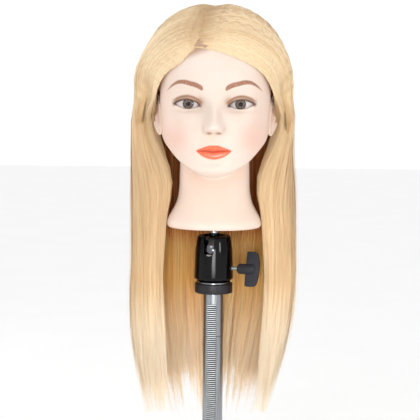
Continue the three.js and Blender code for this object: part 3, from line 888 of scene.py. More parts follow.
# Guides run from the parting to the hair's ends, on the face's left-hand side (+X). The first
# follows the hairline and passes behind the ear; the last one hangs down the middle of the back.
GUIDES = [
    [(6, -83.5, 574), (37, -75, 561), (56, -56, 547), (66, -36, 532), (73, -16, 520), (80, 6, 502),
     (77, 14, 476), (66, 4, 450), (56, -6, 428), (54, -10, 404), (59, -10, 375), (62, -8, 335),
     (64, -6, 280), (60, -4, 210), (55, -2, 132)],
    [(14, -79, 590), (46, -65, 578), (66, -44, 562), (78, -22, 546), (86, 2, 532), (90, 24, 508),
     (88, 25, 475), (80, 12, 448), (72, -2, 422), (69, -9, 398), (71, -11, 370), (72, -11, 335),
     (72, -9, 280), (68, -6, 212), (63, -2, 130)],
    [(16, -64, 605), (50, -50, 592), (74, -32, 570), (86, -14, 550), (92, 8, 532), (96, 24, 505),
     (96, 25, 470), (91, 14, 442), (85, 2, 415), (83, -6, 390), (84, -9, 362), (84, -9, 330),
     (83, -7, 278), (79, -4, 210), (71, 0, 128)],
    [(20, -42, 617), (54, -28, 603), (78, -12, 580), (90, 4, 557), (96, 18, 534), (99, 30, 505),
     (100, 32, 470), (99, 26, 435), (97, 16, 405), (96, 8, 378), (96, 4, 352), (95, 2, 325),
     (93, 2, 272), (88, 4, 206), (76, 6, 124)],
    [(24, -14, 624), (54, 0, 608), (78, 14, 585), (90, 27, 560), (96, 38, 534), (99, 46, 505),
     (100, 49, 468), (100, 47, 432), (100, 42, 400), (99, 37, 372), (98, 33, 345), (97, 30, 318),
     (94, 27, 265), (87, 24, 202), (74, 22, 122)],
    [(22, 14, 625), (48, 30, 609), (68, 46, 587), (80, 58, 561), (85, 66, 534), (88, 71, 505),
     (89, 73, 468), (89, 71, 432), (88, 68, 400), (87, 65, 372), (86, 62, 345), (84, 59, 318),
     (80, 54, 262), (72, 48, 198), (60, 42, 118)],
    [(14, 36, 621), (32, 56, 606), (46, 74, 585), (55, 86, 560), (59, 93, 534), (62, 96, 505),
     (63, 96, 468), (62, 94, 432), (61, 91, 400), (60, 88, 372), (59, 85, 345), (57, 82, 318),
     (53, 76, 260), (46, 68, 195), (37, 60, 114)],
    [(2, 48, 617), (0, 70, 603), (-2, 88, 583), (-3, 99, 560), (-3, 105, 534), (-3, 107, 505),
     (-3, 106, 468), (-3, 104, 432), (-3, 101, 400), (-3, 98, 372), (-3, 95, 345), (-3, 92, 318),
     (-3, 85, 258), (-3, 76, 192), (-3, 66, 110)],
]
ROOT_SHARE = [0.0, 0.12, 0.26, 0.42, 0.6, 0.78, 0.92, 1.0]  # where each guide leaves the parting
LAST_GUIDE = len(GUIDES) - 1
SPLIT_SHARE = 0.62  # share of a strand's length above the cut at the ball joint


def spline_rows(rows, at):
    """Catmull-Rom through rows of points, at fractional row numbers."""
    rows = np.asarray(rows, float)
    last = len(rows) - 1
    at = np.clip(at, 0, last - 1e-6)
    i = at.astype(int)
    f = (at - i).reshape(at.shape + (1,) * (rows.ndim - 1))
    return catmull_rom(*(rows[np.clip(i + k, 0, last)] for k in (-1, 0, 1, 2)), f)


def guide_sheet(side):
    """Guides for one side as an array [guide, point, xyz], each starting on the parting."""
    part = spline_rows(PART, np.array(ROOT_SHARE) * (len(PART) - 1))
    sheet = []
    for number, (root, guide) in enumerate(zip(part, GUIDES)):
        rest = np.array(guide, float)
        if side > 0:
            spread = 0.04 * bell(rest[:, 2] - 270, 80) - 0.1 * smooth(230, 140, rest[:, 2])
            spread -= 0.045 * bell(rest[:, 2] - 462, 40)
        else:
            spread = 0.045 * smooth(545, 500, rest[:, 2]) + 0.08 * smooth(330, 220, rest[:, 2])
        rest[:, 0] *= side * (1 + spread * smooth(0.5, 3, number))
        if side < 0 and number < 3:
            rest[0, 0] += 1.6 * root[0] * (1 - number / 3)
        sheet.append(np.vstack([root, rest]))
    return np.array(sheet)


def over_scalp(points, depth):
    """Moves points near the head to a depth from 0, the hair's surface, to 1, the scalp."""
    offset = points - HAIR_CENTRE
    level = offset.copy()
    level[..., 2] = np.clip(offset[..., 2], 0, None)
    roots = np.broadcast_to(HAIR_ROOTS, points.shape).copy()
    roots[..., 0] -= 6.5 * smooth(575, 528, points[..., 2])
    axes = HAIR_SURFACE + (roots - HAIR_SURFACE) * depth[..., None]
    axes[..., 0] += np.where(points[..., 0] < 0, 10, 4) * smooth(592, 532, points[..., 2]) * (1 - depth)
    reach = ((np.abs(level) / axes) ** HAIR_POWER).sum(-1, keepdims=True) ** (1 / HAIR_POWER)
    moved = HAIR_CENTRE + level / reach + (offset - level)
    near = smooth(498, 528, points[..., 2])[..., None]
    return points * (1 - near) + moved * near


def sheet_frame(by_point, u):
    """Points, across directions and outward normals of the sheet; u is [strand, point]."""
    points = np.empty(u.shape + (3,))
    ahead = np.empty(u.shape + (3,))
    for k in range(u.shape[1]):
        points[:, k] = spline_rows(by_point[k], u[:, k])
        high = spline_rows(by_point[k], np.minimum(u[:, k] + 0.25, LAST_GUIDE))
        ahead[:, k] = high - spline_rows(by_point[k], np.maximum(u[:, k] - 0.25, 0))
    across = unit(ahead)
    normal = unit(np.cross(unit(np.gradient(points, axis=1)), across))
    outward = points.copy()
    outward[..., 1] -= HAIR_CENTRE[1] + 40 * smooth(540, 510, points[..., 2])
    outward[..., 2] = np.clip(points[..., 2] - HAIR_CENTRE[2], 0, None)
    normal *= np.sign((normal * outward).sum(-1, keepdims=True) + 1e-9)
    return points, across, normal


def strands(side, rng, count, clumps, low, high, depth, first=0.0, fly=0.02):
    """Strand centre lines with their across directions, from guide low to guide high.

    depth is the least and the greatest distance below the hair's surface; first is the guides'
    point where the strands start.
    """
    sheet = guide_sheet(side)
    last = sheet.shape[1] - 1
    clump_at = rng.uniform(low, high, clumps)
    own = rng.integers(0, clumps, count)
    start = clump_at[own] + rng.normal(0, 3 * (high - low) / clumps, count)
    v = first + (last - first) * np.linspace(0, 1, 50) ** 1.25
    share = v / last
    pull = 0.6 * share[None, :] ** 2.5
    u = np.clip(start[:, None] * (1 - pull) + clump_at[own][:, None] * pull, low, high)
    lines, across, normal = sheet_frame(spline_rows(np.swapaxes(sheet, 0, 1), v), u)
    layer = rng.uniform(0, 1, count) ** 1.3
    least = 0.88 * (1 - smooth(0, 2.8, u))
    root = smooth(0.05, 0.0, share)[None, :]
    deep = least + (1 - least) * (0.05 + 0.3 * layer[:, None])
    lines = over_scalp(lines, deep + (1 - deep) * root)
    hanging = smooth(528, 490, lines[..., 2])[..., None]
    below = (depth[0] + (depth[1] - depth[0]) * layer)[:, None, None]
    stray = np.where(rng.random(count) < fly, rng.uniform(1.5, 6, count), 0)[:, None, None]
    lines -= normal * hanging * (below - stray * share[None, :, None])
    phase = rng.uniform(0, 2 * np.pi, (clumps, 3))[own]
    wave = np.sin(9 * share[None, :] + phase[:, :1])
    wave += 0.35 * np.sin(21 * share[None, :] + phase[:, 1:2])
    loose = (smooth(0.25, 0.5, share) + 1.2 * smooth(0.6, 1, share))[None, :]
    own_wave = rng.normal(0, 0.5, (count, 1)) * np.sin(14 * share[None, :] + 6 * rng.random((count, 1)))
    lines += across * ((wave + own_wave) * loose)[..., None]
    lines[..., 0] += rng.normal(0, 2.2, (count, 1)) * root
    lines += normal * (0.7 * np.sin(7 * share[None, :] + phase[:, 2:3]) * loose)[..., None]
    roll = rng.normal(0, 0.2, (count, 1, 1))
    return lines, across * np.cos(roll) + normal * np.sin(roll), own, layer


def resampled(line, count, ease=1.0):
    """The columns of a line at count places along it, closer together at its start if ease is over 1."""
    run = np.concatenate([[0], np.cumsum(np.linalg.norm(np.diff(line[:, :3], axis=0), axis=1))])
    at = run[-1] * np.linspace(0, 1, count) ** ease
    return np.stack([np.interp(at, run, column) for column in line.T], -1)


def split_line(line, height):
    """The parts of a line above and below a height; either may be empty."""
    under = np.nonzero(line[:, 2] < height)[0]
    if not len(under):
        return line, None
    k = under[0]
    if k == 0:
        return None, line
    t = (line[k - 1, 2] - height) / (line[k - 1, 2] - line[k, 2])
    at = line[k - 1] + (line[k] - line[k - 1]) * t
    return np.vstack([line[:k], at]), np.vstack([at, line[k:]])


def ribbon_object(name, lines, sides, widths, tones, lengthwise, material):
    """Flat ribbons along lines [strand, point, xyz]; tones choose the column of the colour map."""
    count, points, _ = lines.shape
    half = (widths / 2)[..., None]
    verts = np.stack([lines - sides * half, lines + sides * half], 2).reshape(-1, 3)
    base = (np.arange(count)[:, None] * points + np.arange(points - 1)[None, :]) * 2
    faces = np.stack([base, base + 1, base + 3, base + 2], -1).reshape(-1, 4)
    mesh = bpy.data.meshes.new(name)
    mesh.vertices.add(len(verts))
    mesh.vertices.foreach_set("co", (verts * MM).ravel())
    mesh.loops.add(len(faces) * 4)
    mesh.loops.foreach_set("vertex_index", faces.ravel())
    mesh.polygons.add(len(faces))
    mesh.polygons.foreach_set("loop_start", np.arange(len(faces)) * 4)
    mesh.update(calc_edges=True)
    mesh.shade_smooth()
    left = np.repeat(np.clip(tones, 0.01, 0.97), points)
    run = np.tile(lengthwise, count)
    pairs = np.stack([np.stack([left, run], -1), np.stack([left + 0.004, run], -1)], 1)
    put_hair_map(mesh, pairs.reshape(-1, 2)[faces.ravel()])
    mesh.materials.append(material)
    obj = bpy.data.objects.new(name, mesh)
    scene.collection.objects.link(obj)
    return obj


def put_hair_map(mesh, coordinates):
    layer = mesh.uv_layers.new(name="OFBake")
    layer.data.foreach_set("uv", np.asarray(coordinates, np.float32).ravel())


def hair_pieces(name, made, tones, keep, width, material):
    """The upper and lower ribbon objects of strands that pass the ball joint."""
    lines, sides, _, _ = made
    both = np.concatenate([lines, sides], -1)
    parts = {"upper": [], "lower": []}
    for line, tone, share in zip(both, tones, keep):
        line = resampled(line, 2 * len(line))[: round(2 * len(line) * share)]
        for part, piece in zip(parts, split_line(line, HAIR_SPLIT)):
            if piece is not None and len(piece) > 2:
                parts[part].append((piece, tone))
    for part, kept in parts.items():
        above = part == "upper"
        points = 22 if above else 15
        ease = 1.3 if above else 1.0
        rows = np.array([resampled(piece, points, ease) for piece, _ in kept])
        run = np.linspace(0, 1, points) ** ease
        taper = 0.3 + 0.7 * smooth(0, 0.1, run) if above else 1 - 0.85 * smooth(0.35, 1, run)
        lengthwise = run * SPLIT_SHARE if above else SPLIT_SHARE + run * (1 - SPLIT_SHARE)
        obj = ribbon_object(
            f"{name}_{part}", rows[..., :3], unit(rows[..., 3:]), width * np.tile(taper, (len(rows), 1)),
            np.array([tone for _, tone in kept]), np.clip(lengthwise, 0.01, 0.99), material,
        )
        ride_hair(obj, above)


def ride_hair(obj, above):
    """Bakes the piece's place into its mesh, alike for the parts above and below the ball joint."""
    if above:
        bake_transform(obj)
    else:
        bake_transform(obj)


def lengths(rng, own, clumps, shortest):
    """Share of its guide's length that each strand keeps: most end together, a few hang longer."""
    count = len(own)
    long_ends = rng.exponential(0.042, clumps)[own] + rng.exponential(0.012, count)
    return np.clip(shortest + long_ends, 0.6, 1)


def build_strands(material):
    bands = ((0.1, 2.4), (2.2, 4.8), (4.6, 7))
    for side, name in ((1, "left"), (-1, "right")):
        rng = np.random.default_rng(40 + side)
        for number, (low, high) in enumerate(bands):
            count, clumps = 4300, 380
            made = strands(side, rng, count, clumps, low, high, (0, 10))
            own, layer = made[2:]
            keep = lengths(rng, own, clumps, 0.82)
            # Deeper strands take a darker tone: painted shade under the upper layers.
            tones = rng.normal(0.8, 0.05, clumps)[own] + rng.normal(0, 0.06, count) - 0.14 * layer
            hair_pieces(f"hair_{name}_{number + 1}", made, tones, keep, 0.62, material)
        count, clumps = 600, 90
        made = strands(side, rng, count, clumps, 0, 0.3, (4, 9))
        tones = rng.normal(0.76, 0.06, clumps)[made[2]] + rng.normal(0, 0.07, count)
        hair_pieces(f"hairline_{name}", made, tones, np.full(count, 0.9), 0.4, material)


def build_inner_strands(material):
    """Deep strands on the inside of the hanging hair, seen beside the neck and round the clamp."""
    for side, name in ((1, "left"), (-1, "right")):
        rng = np.random.default_rng(70 + side)
        count, clumps = 3600, 260
        made = strands(side, rng, count, clumps, 3.0, 7, (13, 19), first=6.4, fly=0)
        keep = lengths(rng, made[2], clumps, 0.8)
        tones = rng.normal(0.7, 0.09, clumps)[made[2]] + rng.normal(0, 0.06, count)
        hair_pieces(f"hair_inner_{name}", made, tones, keep, 0.85, material)


def build_hair_base(material):
    """A thin closed sheet among the strands, so that no light shows through the hair."""
    columns, rows = 48, 64
    for side, name in ((1, "left"), (-1, "right")):
        sheet = guide_sheet(side)
        v = np.linspace(0, 12.3, rows)
        first = 0.7 + 2.4 * smooth(2.6, 4.6, v)
        u = first[None, :] + (LAST_GUIDE - first)[None, :] * np.linspace(0, 1, columns)[:, None]
        points, _, normal = sheet_frame(spline_rows(np.swapaxes(sheet, 0, 1), v), u)
        deep = np.full(u.shape, 0.9)
        outer = over_scalp(points, deep)
        inner = over_scalp(points, deep + 0.12)
        hanging = smooth(528, 490, points[..., 2])[..., None]
        edge = smooth(0, 0.06, np.linspace(0, 1, columns))[:, None, None]
        end = smooth(12.3, 11.2, v)[None, :, None]
        sunk = (10.3 + 4 * bell(v - 6.5, 1.6))[None, :, None]
        outer = outer - normal * hanging * sunk
        inner = inner - normal * hanging * (sunk + 0.3 + 2.2 * edge * end)
        base_parts(name, np.swapaxes(outer, 0, 1), np.swapaxes(inner, 0, 1), material)


def base_parts(name, outer, inner, material):
    split = int(np.argmin(np.abs(outer[..., 2].mean(1) - HAIR_SPLIT)))
    for part, kept, cut in (("upper", slice(0, split + 1), -1), ("lower", slice(split, None), 0)):
        a, b = outer[kept].copy(), inner[kept].copy()
        a[cut, :, 2] = b[cut, :, 2] = HAIR_SPLIT
        rows, columns = a.shape[:2]
        around = columns * 2
        ring = np.concatenate([a, b[:, ::-1]], 1)
        faces = capped_faces(rows, around)
        obj = make_object(f"hair_base_{name}_{part}", ring.reshape(-1, 3), faces, material)
        outward_faces(obj)
        # The sheet's inner side takes a darker tone than its outer side: painted shade.
        tone = np.concatenate([np.full(columns, 0.5), np.full(columns, 0.2)])
        tone += 0.05 * np.sin(1.7 * np.arange(around))
        index = np.empty(len(obj.data.loops), int)
        obj.data.loops.foreach_get("vertex_index", index)
        lengthwise = np.repeat(np.linspace(0.1, 0.5, rows), around)
        put_hair_map(obj.data, np.stack([np.tile(tone, rows)[index], lengthwise[index]], -1))
        ride_hair(obj, part == "upper")
        replaced = {
            ("left", "upper"): ["hair_upper_left", "hair_upper_back"],
            ("left", "lower"): ["hair_lower_left", "hair_lower_back"],
            ("right", "upper"): ["hair_upper_right", "hair_crown"],
            ("right", "lower"): ["hair_lower_right"],
        }
        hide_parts(*replaced[name, part])


# ------------------------------------------------------------------ clamp and stand

BALL_RADIUS = 18
NOTCH_HALF = 6.5  # half the width of the drop notch
HUB_START = 31.0  # from the stand's axis to the knob's hub
WING_HALF = 21.4  # half the length of the knob's wing
STUD_RADIUS = 4.76
LOCK_SCREW_RADIUS = 2.45
COLUMN_BORE = 9.2
RACK_WIDTH = 11.0
RACK_PITCH = 2.5
RACK_TURN = math.radians(-8.7)  # the rack faces a little to one side of the front


def lathe(name, profile, material, segments=96, closed=False, sharp=35):
    """A solid turned about the Z axis. The profile goes up the outside; closed profiles make rings."""
    profile = list(profile)
    turns = np.linspace(0, 2 * np.pi, segments, endpoint=False)
    r = np.array([p[0] for p in profile])
    z = np.array([p[1] for p in profile])
    x = r[:, None] * np.cos(turns)
    y = r[:, None] * np.sin(turns)
    points = np.stack([x, y, np.broadcast_to(z[:, None], x.shape)], -1).reshape(-1, 3)
    if closed:
        faces = [list(f) for f in grid_faces(len(profile), segments, closed=True)]
        last = (len(profile) - 1) * segments
        faces += [[last + k, last + (k + 1) % segments, (k + 1) % segments, k] for k in range(segments)]
    else:
        faces = capped_faces(len(profile), segments)
    obj = make_object(name, points, faces, material)
    outward_faces(obj)
    obj.data.shade_smooth()
    obj.data.set_sharp_from_angle(angle=math.radians(sharp))
    return obj


def prism(name, outline, depth, material):
    """A closed outline in the XZ plane, extruded along Y about y = 0."""
    count = len(outline)
    front = [(x, -depth / 2, z) for x, z in outline]
    back = [(x, depth / 2, z) for x, z in outline]
    faces = [list(range(count)), list(range(count, 2 * count))[::-1]]
    faces += [[k, (k + 1) % count, count + (k + 1) % count, count + k][::-1] for k in range(count)]
    obj = make_object(name, front + back, faces, material, smooth_shading=False)
    outward_faces(obj)
    return obj


def turn_about_z(obj, angle):
    c, s = math.cos(angle), math.sin(angle)
    for vertex in obj.data.vertices:
        x, y, z = vertex.co
        vertex.co = (c * x - s * y, s * x + c * y, z)


def finish_piece(obj, body, slot, *nodes):
    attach(obj, body)
    if nodes:
        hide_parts(*nodes)


def cut_notch(piece, material):
    """Cuts the drop notch: a slot, open at the top, with a round bottom about the ball's centre."""
    arc = [math.radians(a) for a in range(180, 361, 10)]
    outline = [(NOTCH_HALF * math.cos(a), BALL[2] + NOTCH_HALF * math.sin(a)) for a in arc]
    outline += [(NOTCH_HALF, BALL[2] + 40), (-NOTCH_HALF, BALL[2] + 40)]
    slot = prism("slot_cutter", outline, 22, material)
    for vertex in slot.data.vertices:
        vertex.co.y -= 19 * MM
    turn_about_z(slot, SCREW_TURN)
    cut_with(piece, slot)


def build_housing(material):
    """The housing with its notch and screw hole, and the ring that seats the ball."""
    low, middle, top = HOUSING_LOW, BALL[2], HOUSING_TOP
    profile = [
        (18.7, low), (19.2, low), (19.6, low + 0.3), (23.7, low + 4.2), (24.1, low + 4.9),
        (24.05, low + 7), (23.5, middle - 18), (22.95, middle - 4), (22.5, middle + 3),
        (21.7, middle + 9), (20.6, middle + 14.4), (19.9, top - 0.7), (19.2, top - 0.1),
        (18.6, top), (15.2, top), (14.6, top - 0.5), (13.45, middle + 12.7), (14.9, middle + 11),
        (16, middle + 9.3), (18.7, middle + 9.3),
    ]
    body = lathe("clamp_housing", profile, material, 128, closed=True, sharp=50)
    cut_notch(body, material)
    hole = lathe("hole_cutter", [(2.9, 12), (2.9, 34)], material, 32)
    along_screw(hole)
    cut_with(body, hole)
    bevelled(body, 0.45, 2, 50)
    finish_piece(body, "stand", "gloss_black", "ball_housing")
    profile = [
        (18.4, middle + 5), (18.4, middle + 9), (15.9, middle + 9), (16.9, middle + 7),
        (17.6, middle + 5),
    ]
    ring = lathe("ball_seat_ring", profile, material, 96, closed=True)
    cut_notch(ring, material)
    finish_piece(ring, "stand", "inner_plastic", "friction_ring")


def along_screw(obj):
    """Lays a piece made along +Z out along the lock screw."""
    c, s = math.cos(SCREW_TURN), math.sin(SCREW_TURN)
    for vertex in obj.data.vertices:
        x, y, z = vertex.co
        out, across, up = z, y, -x
        vertex.co = (c * out - s * across, s * out + c * across, up + SCREW_HEIGHT * MM)


def thread_profile(radius, depth, pitch, start, end):
    """Rings of a screw thread's outline, going up."""
    points = []
    z = start
    while z + pitch < end:
        points += [(radius, z + 0.1 * pitch), (radius, z + 0.35 * pitch)]
        points += [(radius - depth, z + 0.6 * pitch), (radius - depth, z + 0.85 * pitch)]
        z += pitch
    return points


def build_ball_and_stud(ball_material, stud_material, collar_material):
    centre = BALL[2]
    turns = np.linspace(0.03, math.pi - 0.03, 60)
    arc = [(BALL_RADIUS * math.sin(t), centre - BALL_RADIUS * math.cos(t)) for t in turns]
    ball = lathe("clamp_ball", arc, ball_material, 96, sharp=60)
    finish_piece(ball, "ball", "black_chrome", "ball")
    collar = lathe(
        "stud_collar",
        [(0.2, centre + 18.25), (4, centre + 17.8), (6.6, centre + 16.95), (7.0, centre + 17.3),
         (7.0, centre + 19.6), (6.6, centre + 20.0), (5.6, centre + 20.6), (0.2, centre + 20.6)],
        collar_material, 64,
    )
    finish_piece(collar, "head", "zinc")
    top = high_of("ball_stud")[2]
    profile = [(0.2, centre + 20.7), (5.3, centre + 20.7), (5.3, centre + 21.6)]
    profile += thread_profile(STUD_RADIUS, 0.8, 1.6, centre + 21.8, centre + 34)
    profile += [(4.6, centre + 34), (4.6, top - 1.2), (3.6, top), (0.2, top)]
    threaded = lathe("stud_thread", profile, stud_material, 64, sharp=25)
    finish_piece(threaded, "head", "zinc", "ball_stud")


def build_knob(material, screw_material):
    start = HUB_START
    hub = lathe(
        "knob_hub",
        [(0.2, start), (4.4, start), (4.9, start + 0.3), (6.2, start + 1.8), (6.4, start + 2.4),
         (6.4, start + 10), (6.7, start + 11.2), (6.7, start + 21), (5.8, start + 22.5), (0.2, start + 23)],
        material, 64, sharp=40,
    )
    along_screw(hub)
    half = WING_HALF
    edge = [(42, -half + 1), (43, -half), (52.5, -half), (53.8, -half + 0.9)]
    edge += [(53.8 + 4.4 * math.cos(t * math.pi / 2), half * 0.94 * math.sin(t * math.pi / 2))
             for t in np.linspace(-0.9, 0.9, 13)]
    edge += [(53.8, half - 0.9), (52.5, half), (43, half), (42, half - 1)]
    blade = prism("knob_blade", edge, 8, material)
    twist = math.radians(-16)
    c, s = math.cos(SCREW_TURN), math.sin(SCREW_TURN)
    bevelled(blade, 1.3, 3, 30)
    for vertex in blade.data.vertices:
        out, across, up = vertex.co
        thin = 1 - 0.22 * abs(up) / (half * MM)
        across *= thin
        across, up = (
            across * math.cos(twist) - up * math.sin(twist),
            across * math.sin(twist) + up * math.cos(twist),
        )
        vertex.co = (c * out - s * across, s * out + c * across, up + SCREW_HEIGHT * MM)
    finish_piece(hub, "knob", "charcoal_plastic", "wing_knob")
    finish_piece(blade, "knob", "charcoal_plastic")
    profile = [(0.2, 5), (1.25, 5), (LOCK_SCREW_RADIUS, 6.4)]
    profile += thread_profile(LOCK_SCREW_RADIUS, 0.4, 0.8, 6.6, 31.8)
    profile += [(2.4, 38), (0.2, 38)]
    screw = lathe("knob_screw", profile, screw_material, 40, sharp=25)
    along_screw(screw)
    finish_piece(screw, "knob", "zinc", "lock_screw")


def build_stand(looks):
    plate = lathe(
        "tripod_plate",
        [(4.9, PLATE_LOW), (22.4, PLATE_LOW), (23.1, PLATE_LOW + 0.5), (PLATE_RADIUS, PLATE_LOW + 1.1),
         (PLATE_RADIUS, PLATE_TOP - 1.0), (23.1, PLATE_TOP - 0.4), (22.5, PLATE_TOP), (4.9, PLATE_TOP)],
        looks["charcoal"], 128, closed=True, sharp=50,
    )
    finish_piece(plate, "stand", "charcoal", "top_plate")
    rim = PLATE_TOP + 0.3
    ring = lathe(
        "clamp_base_ring",
        [(4.9, rim), (19.2, rim), (19.5, rim + 0.2), (19.5, rim + 0.8), (19.2, rim + 1.0), (18.4, rim + 1.0),
         (18.4, rim + 6.5), (4.9, rim + 6.5)],
        looks["zinc"], 128, closed=True,
    )
    finish_piece(ring, "stand", "zinc", "base_insert")
    build_column(looks)


def build_column(looks):
    """Two tubes, each with a slot along its front for the rack."""
    half = RACK_WIDTH / 2 + 0.3
    slot_top = high_of("rack_strip")[2] + 0.6
    slot_depth, cutter_depth = 2.3, 6
    r = COLUMN_RADIUS
    for part in ("lower", "upper"):
        node = f"column_{part}_tube"
        bottom, top = low_of(node)[2], high_of(node)[2]
        profile = [
            (COLUMN_BORE, bottom), (r - 0.35, bottom), (r, bottom + 0.35),
            (r, top - 0.35), (r - 0.35, top), (COLUMN_BORE, top),
        ]
        tube = lathe(f"column_tube_{part}", profile, looks["column"], 128, closed=True)
        outline = [(-half, -10), (half, -10), (half, slot_top), (-half, slot_top)]
        slot = prism("slot_cutter", outline, cutter_depth, looks["column"])
        for vertex in slot.data.vertices:
            vertex.co.y -= (r - slot_depth + cutter_depth / 2) * MM
        turn_about_z(slot, RACK_TURN)
        cut_with(tube, slot)
        tube.data.shade_smooth()
        tube.data.set_sharp_from_angle(angle=math.radians(30))
        finish_piece(tube, "stand", "column_aluminium", node)
    build_rack(looks["rack"])


def build_rack(material):
    """The toothed strip; the groove attribute marks the floors of the gaps, which are darkened as painted
    shade.
    """
    bottom = low_of("rack_strip")[2]
    top = high_of("rack_strip")[2]
    front = COLUMN_RADIUS - 0.05
    back = COLUMN_RADIUS - 2.0
    floor = front - 1.7
    outline = [(back, bottom)]
    z = bottom
    while z + RACK_PITCH <= top + 0.01:
        outline += [(floor, z + 0.05), (floor, z + 0.85), (front - 0.1, z + 1.15)]
        outline += [(front, z + 1.25), (front, z + 2.15), (front - 0.1, z + 2.25)]
        z += RACK_PITCH
    outline += [(floor, z), (back, z)]
    count = len(outline)
    a = [(-RACK_WIDTH / 2, -r, z) for r, z in outline]
    b = [(RACK_WIDTH / 2, -r, z) for r, z in outline]
    faces = [list(range(count)), list(range(count, 2 * count))[::-1]]
    faces += [[k, (k + 1) % count, count + (k + 1) % count, count + k] for k in range(count)]
    groove = [float(r < front - 1) for r, _ in outline] * 2
    rack = make_object("gear_rack", a + b, faces, material, False, {"groove": groove})
    outward_faces(rack)
    turn_about_z(rack, RACK_TURN)
    finish_piece(rack, "stand", "rack_steel", "rack_strip")


def dress_cad_nodes(looks):
    """Hidden and small CAD pieces keep their own shape and get a finished material."""
    for name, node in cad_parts.items():
        if node.hide_render:
            continue
        if name.startswith(("base_plate_screw", "lock", "mounting", "top_plate_grub")):
            look = looks["zinc"]
        elif name.startswith(("threaded", "lift")):
            look = looks["brass"]
        elif name.startswith(("column_spigot", "column_plug")):
            look = looks["column"]
        elif name.startswith("column_end_cap"):
            look = looks["charcoal_plastic"]
        else:
            look = looks["inner_plastic"]
        node.data.materials.clear()
        node.data.materials.append(look)


# ------------------------------------------------------------------ camera, light and floor


def build_camera():
    data = bpy.data.cameras.new("camera")
    camera = bpy.data.objects.new("camera", data)
    scene.collection.objects.link(camera)
    scene.camera = camera
    distance, pitch, azimuth, roll = 1.71, math.radians(5.9), math.radians(1.1), math.radians(0.55)
    target = Vector((-0.0053, 0, 0.382))
    level = math.cos(pitch)
    back = Vector((math.sin(azimuth) * level, -math.cos(azimuth) * level, math.sin(pitch)))
    data.sensor_width = 36
    data.lens = 119.142857
    camera.location = target + back * distance
    camera.rotation_mode = "QUATERNION"
    look = (-back).to_track_quat("-Z", "Y")
    camera.rotation_quaternion = look @ Quaternion((0, 0, 1), roll)
    data.clip_start, data.clip_end = 0.05, 50


def area_light(name, location, target, size, power):
    data = bpy.data.lights.new(name, "AREA")
    data.shape = "RECTANGLE"
    data.size, data.size_y = size
    data.energy = power
    light = bpy.data.objects.new(name, data)
    scene.collection.objects.link(light)
    light.location = location
    light.rotation_mode = "QUATERNION"
    light.rotation_quaternion = (Vector(target) - Vector(location)).to_track_quat("-Z", "Y")
    return light


def build_studio():
    world = bpy.data.worlds.new("studio")
    scene.world = world
    world.use_nodes = True
    nodes, links = world.node_tree.nodes, world.node_tree.links
    sideways = nodes.new("ShaderNodeSeparateXYZ")
    absolute = nodes.new("ShaderNodeMath")
    absolute.operation = "ABSOLUTE"
    dimmed = nodes.new("ShaderNodeMapRange")
    for socket, value in (("From Min", 0.45), ("From Max", 0.95), ("To Min", 1.03), ("To Max", 0.62)):
        dimmed.inputs[socket].default_value = value
    links.new(nodes.new("ShaderNodeTexCoord").outputs["Generated"], sideways.inputs[0])
    links.new(sideways.outputs["X"], absolute.inputs[0])
    links.new(absolute.outputs[0], dimmed.inputs["Value"])
    links.new(dimmed.outputs["Result"], nodes["Background"].inputs["Strength"])
    nodes["Background"].inputs["Color"].default_value = (1, 1, 1, 1)
    area_light("key", (-0.7, -1.7, 1.3), (0, 0, 0.45), (0.6, 0.6), 3.0)
    area_light("strip_right", (0.96, -1.15, 0.52), (0, 0, 0.36), (0.16, 0.34), 3.0)
    low_front = area_light("low_front", (0, -1.3, 0.3), (0, 0.05, 0.17), (0.5, 0.2), 0.33)
    low_front.data.spread = math.radians(40)
    area_light("strip_left", (-1.3, 0.55, 0.5), (0, 0, 0.4), (0.12, 0.9), 2.0)
    floor_look = Look("floor", Roughness=0.9)
    stops = [(0.3, (0.975, 0.975, 0.975)), (0.7, (0.99, 0.99, 0.99))]
    floor_look.feed("Base Color", floor_look.ramp(floor_look.noise(6, 2), stops))
    size = 6000
    points = [(-size, -size, 0), (size, -size, 0), (size, size, 0), (-size, size, 0)]
    floor = make_object("floor", points, [(0, 1, 2, 3)], floor_look.material, smooth_shading=False)
    scene.view_settings.view_transform = "Standard"


# ------------------------------------------------------------------ assembly

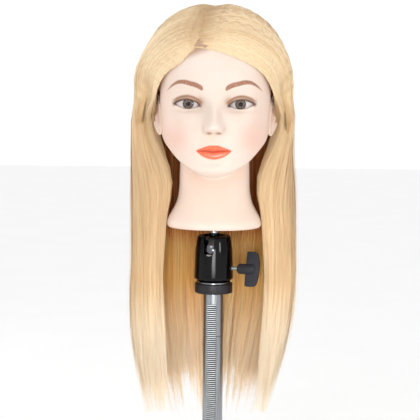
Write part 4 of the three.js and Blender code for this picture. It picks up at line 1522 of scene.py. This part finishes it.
BLONDE = [
    (0.0, linear("9A4C24")), (0.18, linear("C8844A")), (0.34, linear("DFAB70")),
    (0.5, linear("EBC48E")), (0.66, linear("F2CF9C")), (0.82, linear("F8DBAE")), (1.0, linear("FDEACA")),
]
# Hair shades for the strands inside the hanging hair, warmer than the blonde: painted bounce light among the
# strands and painted shade at the dark end.
AMBER = [
    (0.0, linear("8A3E1C")), (0.2, linear("C06A30")), (0.4, linear("E39A50")),
    (0.6, linear("F4BC68")), (0.8, linear("FCD48A")), (1.0, linear("FFE6AE")),
]

build_camera()
build_studio()
skin = skin_look()
hair = hair_look("blonde_hair", BLONDE, 0.45, 0)
inner_hair_painted_shade = hair_look("inner_hair_painted_shade", AMBER, 0, 0.5)
looks = {
    "zinc": turned_metal_look("zinc", "B9BDBB", "DDE1DF", 0.28, (1, 1, 1)),
    "black_chrome": plain_look("black_chrome", "5A5A60", "74747A", 0.12, 1.0, 80, 0.02, 0.03),
    "gloss_black": plain_look(
        "gloss_black", "030305", "060609", 0.1, 0.0, 50, 0.005, 0.02, Specular_IOR_Level=0.22
    ),
    "charcoal": plain_look(
        "charcoal_enamel", "1A181C", "242226", 0.42, 0.0, 90, 0.08, Specular_IOR_Level=0.35
    ),
    "charcoal_plastic": plain_look(
        "charcoal_plastic", "1E1E24", "29292F", 0.55, 0.0, 140, 0.15, Specular_IOR_Level=0.35
    ),
    "inner_plastic": plain_look("inner_plastic", "B9B2A6", "C6BFB3", 0.5),
    "brass": turned_metal_look("brass", "A98645", "C7A560", 0.3, (1, 1, 0.2)),
    "column": turned_metal_look("column_aluminium", "8A8D90", "A8ABAE", 0.27, (1, 1, 0.04)),
    "rack": rack_look(),
    "liner": plain_look("liner_foam", "CFC5B4", "DDD4C5", 0.85, 0.0, 200, 0.4),
}
eye_looks = {"white": eye_white_look(), "iris": iris_look(), "cornea": cornea_look()}
scalp_material = plain_look("scalp", "E6CBA0", "EED9B4", 0.6)
lash_material = plain_look("lashes", "2B1C16", "3A2820", 0.5)

build_skin(skin, scalp_material)
for side, name in ((1, "left"), (-1, "right")):
    build_ear(side, f"ear_{name}", skin)
    build_eye(side, name, eye_looks)
    build_lashes(side, name, lash_material)
build_liner(looks["liner"])
build_hair_base(hair)
build_strands(hair)
build_inner_strands(inner_hair_painted_shade)
build_housing(looks["gloss_black"])
build_ball_and_stud(looks["black_chrome"], looks["zinc"], looks["gloss_black"])
build_knob(looks["charcoal_plastic"], looks["zinc"])
build_stand(looks)
dress_cad_nodes(looks)
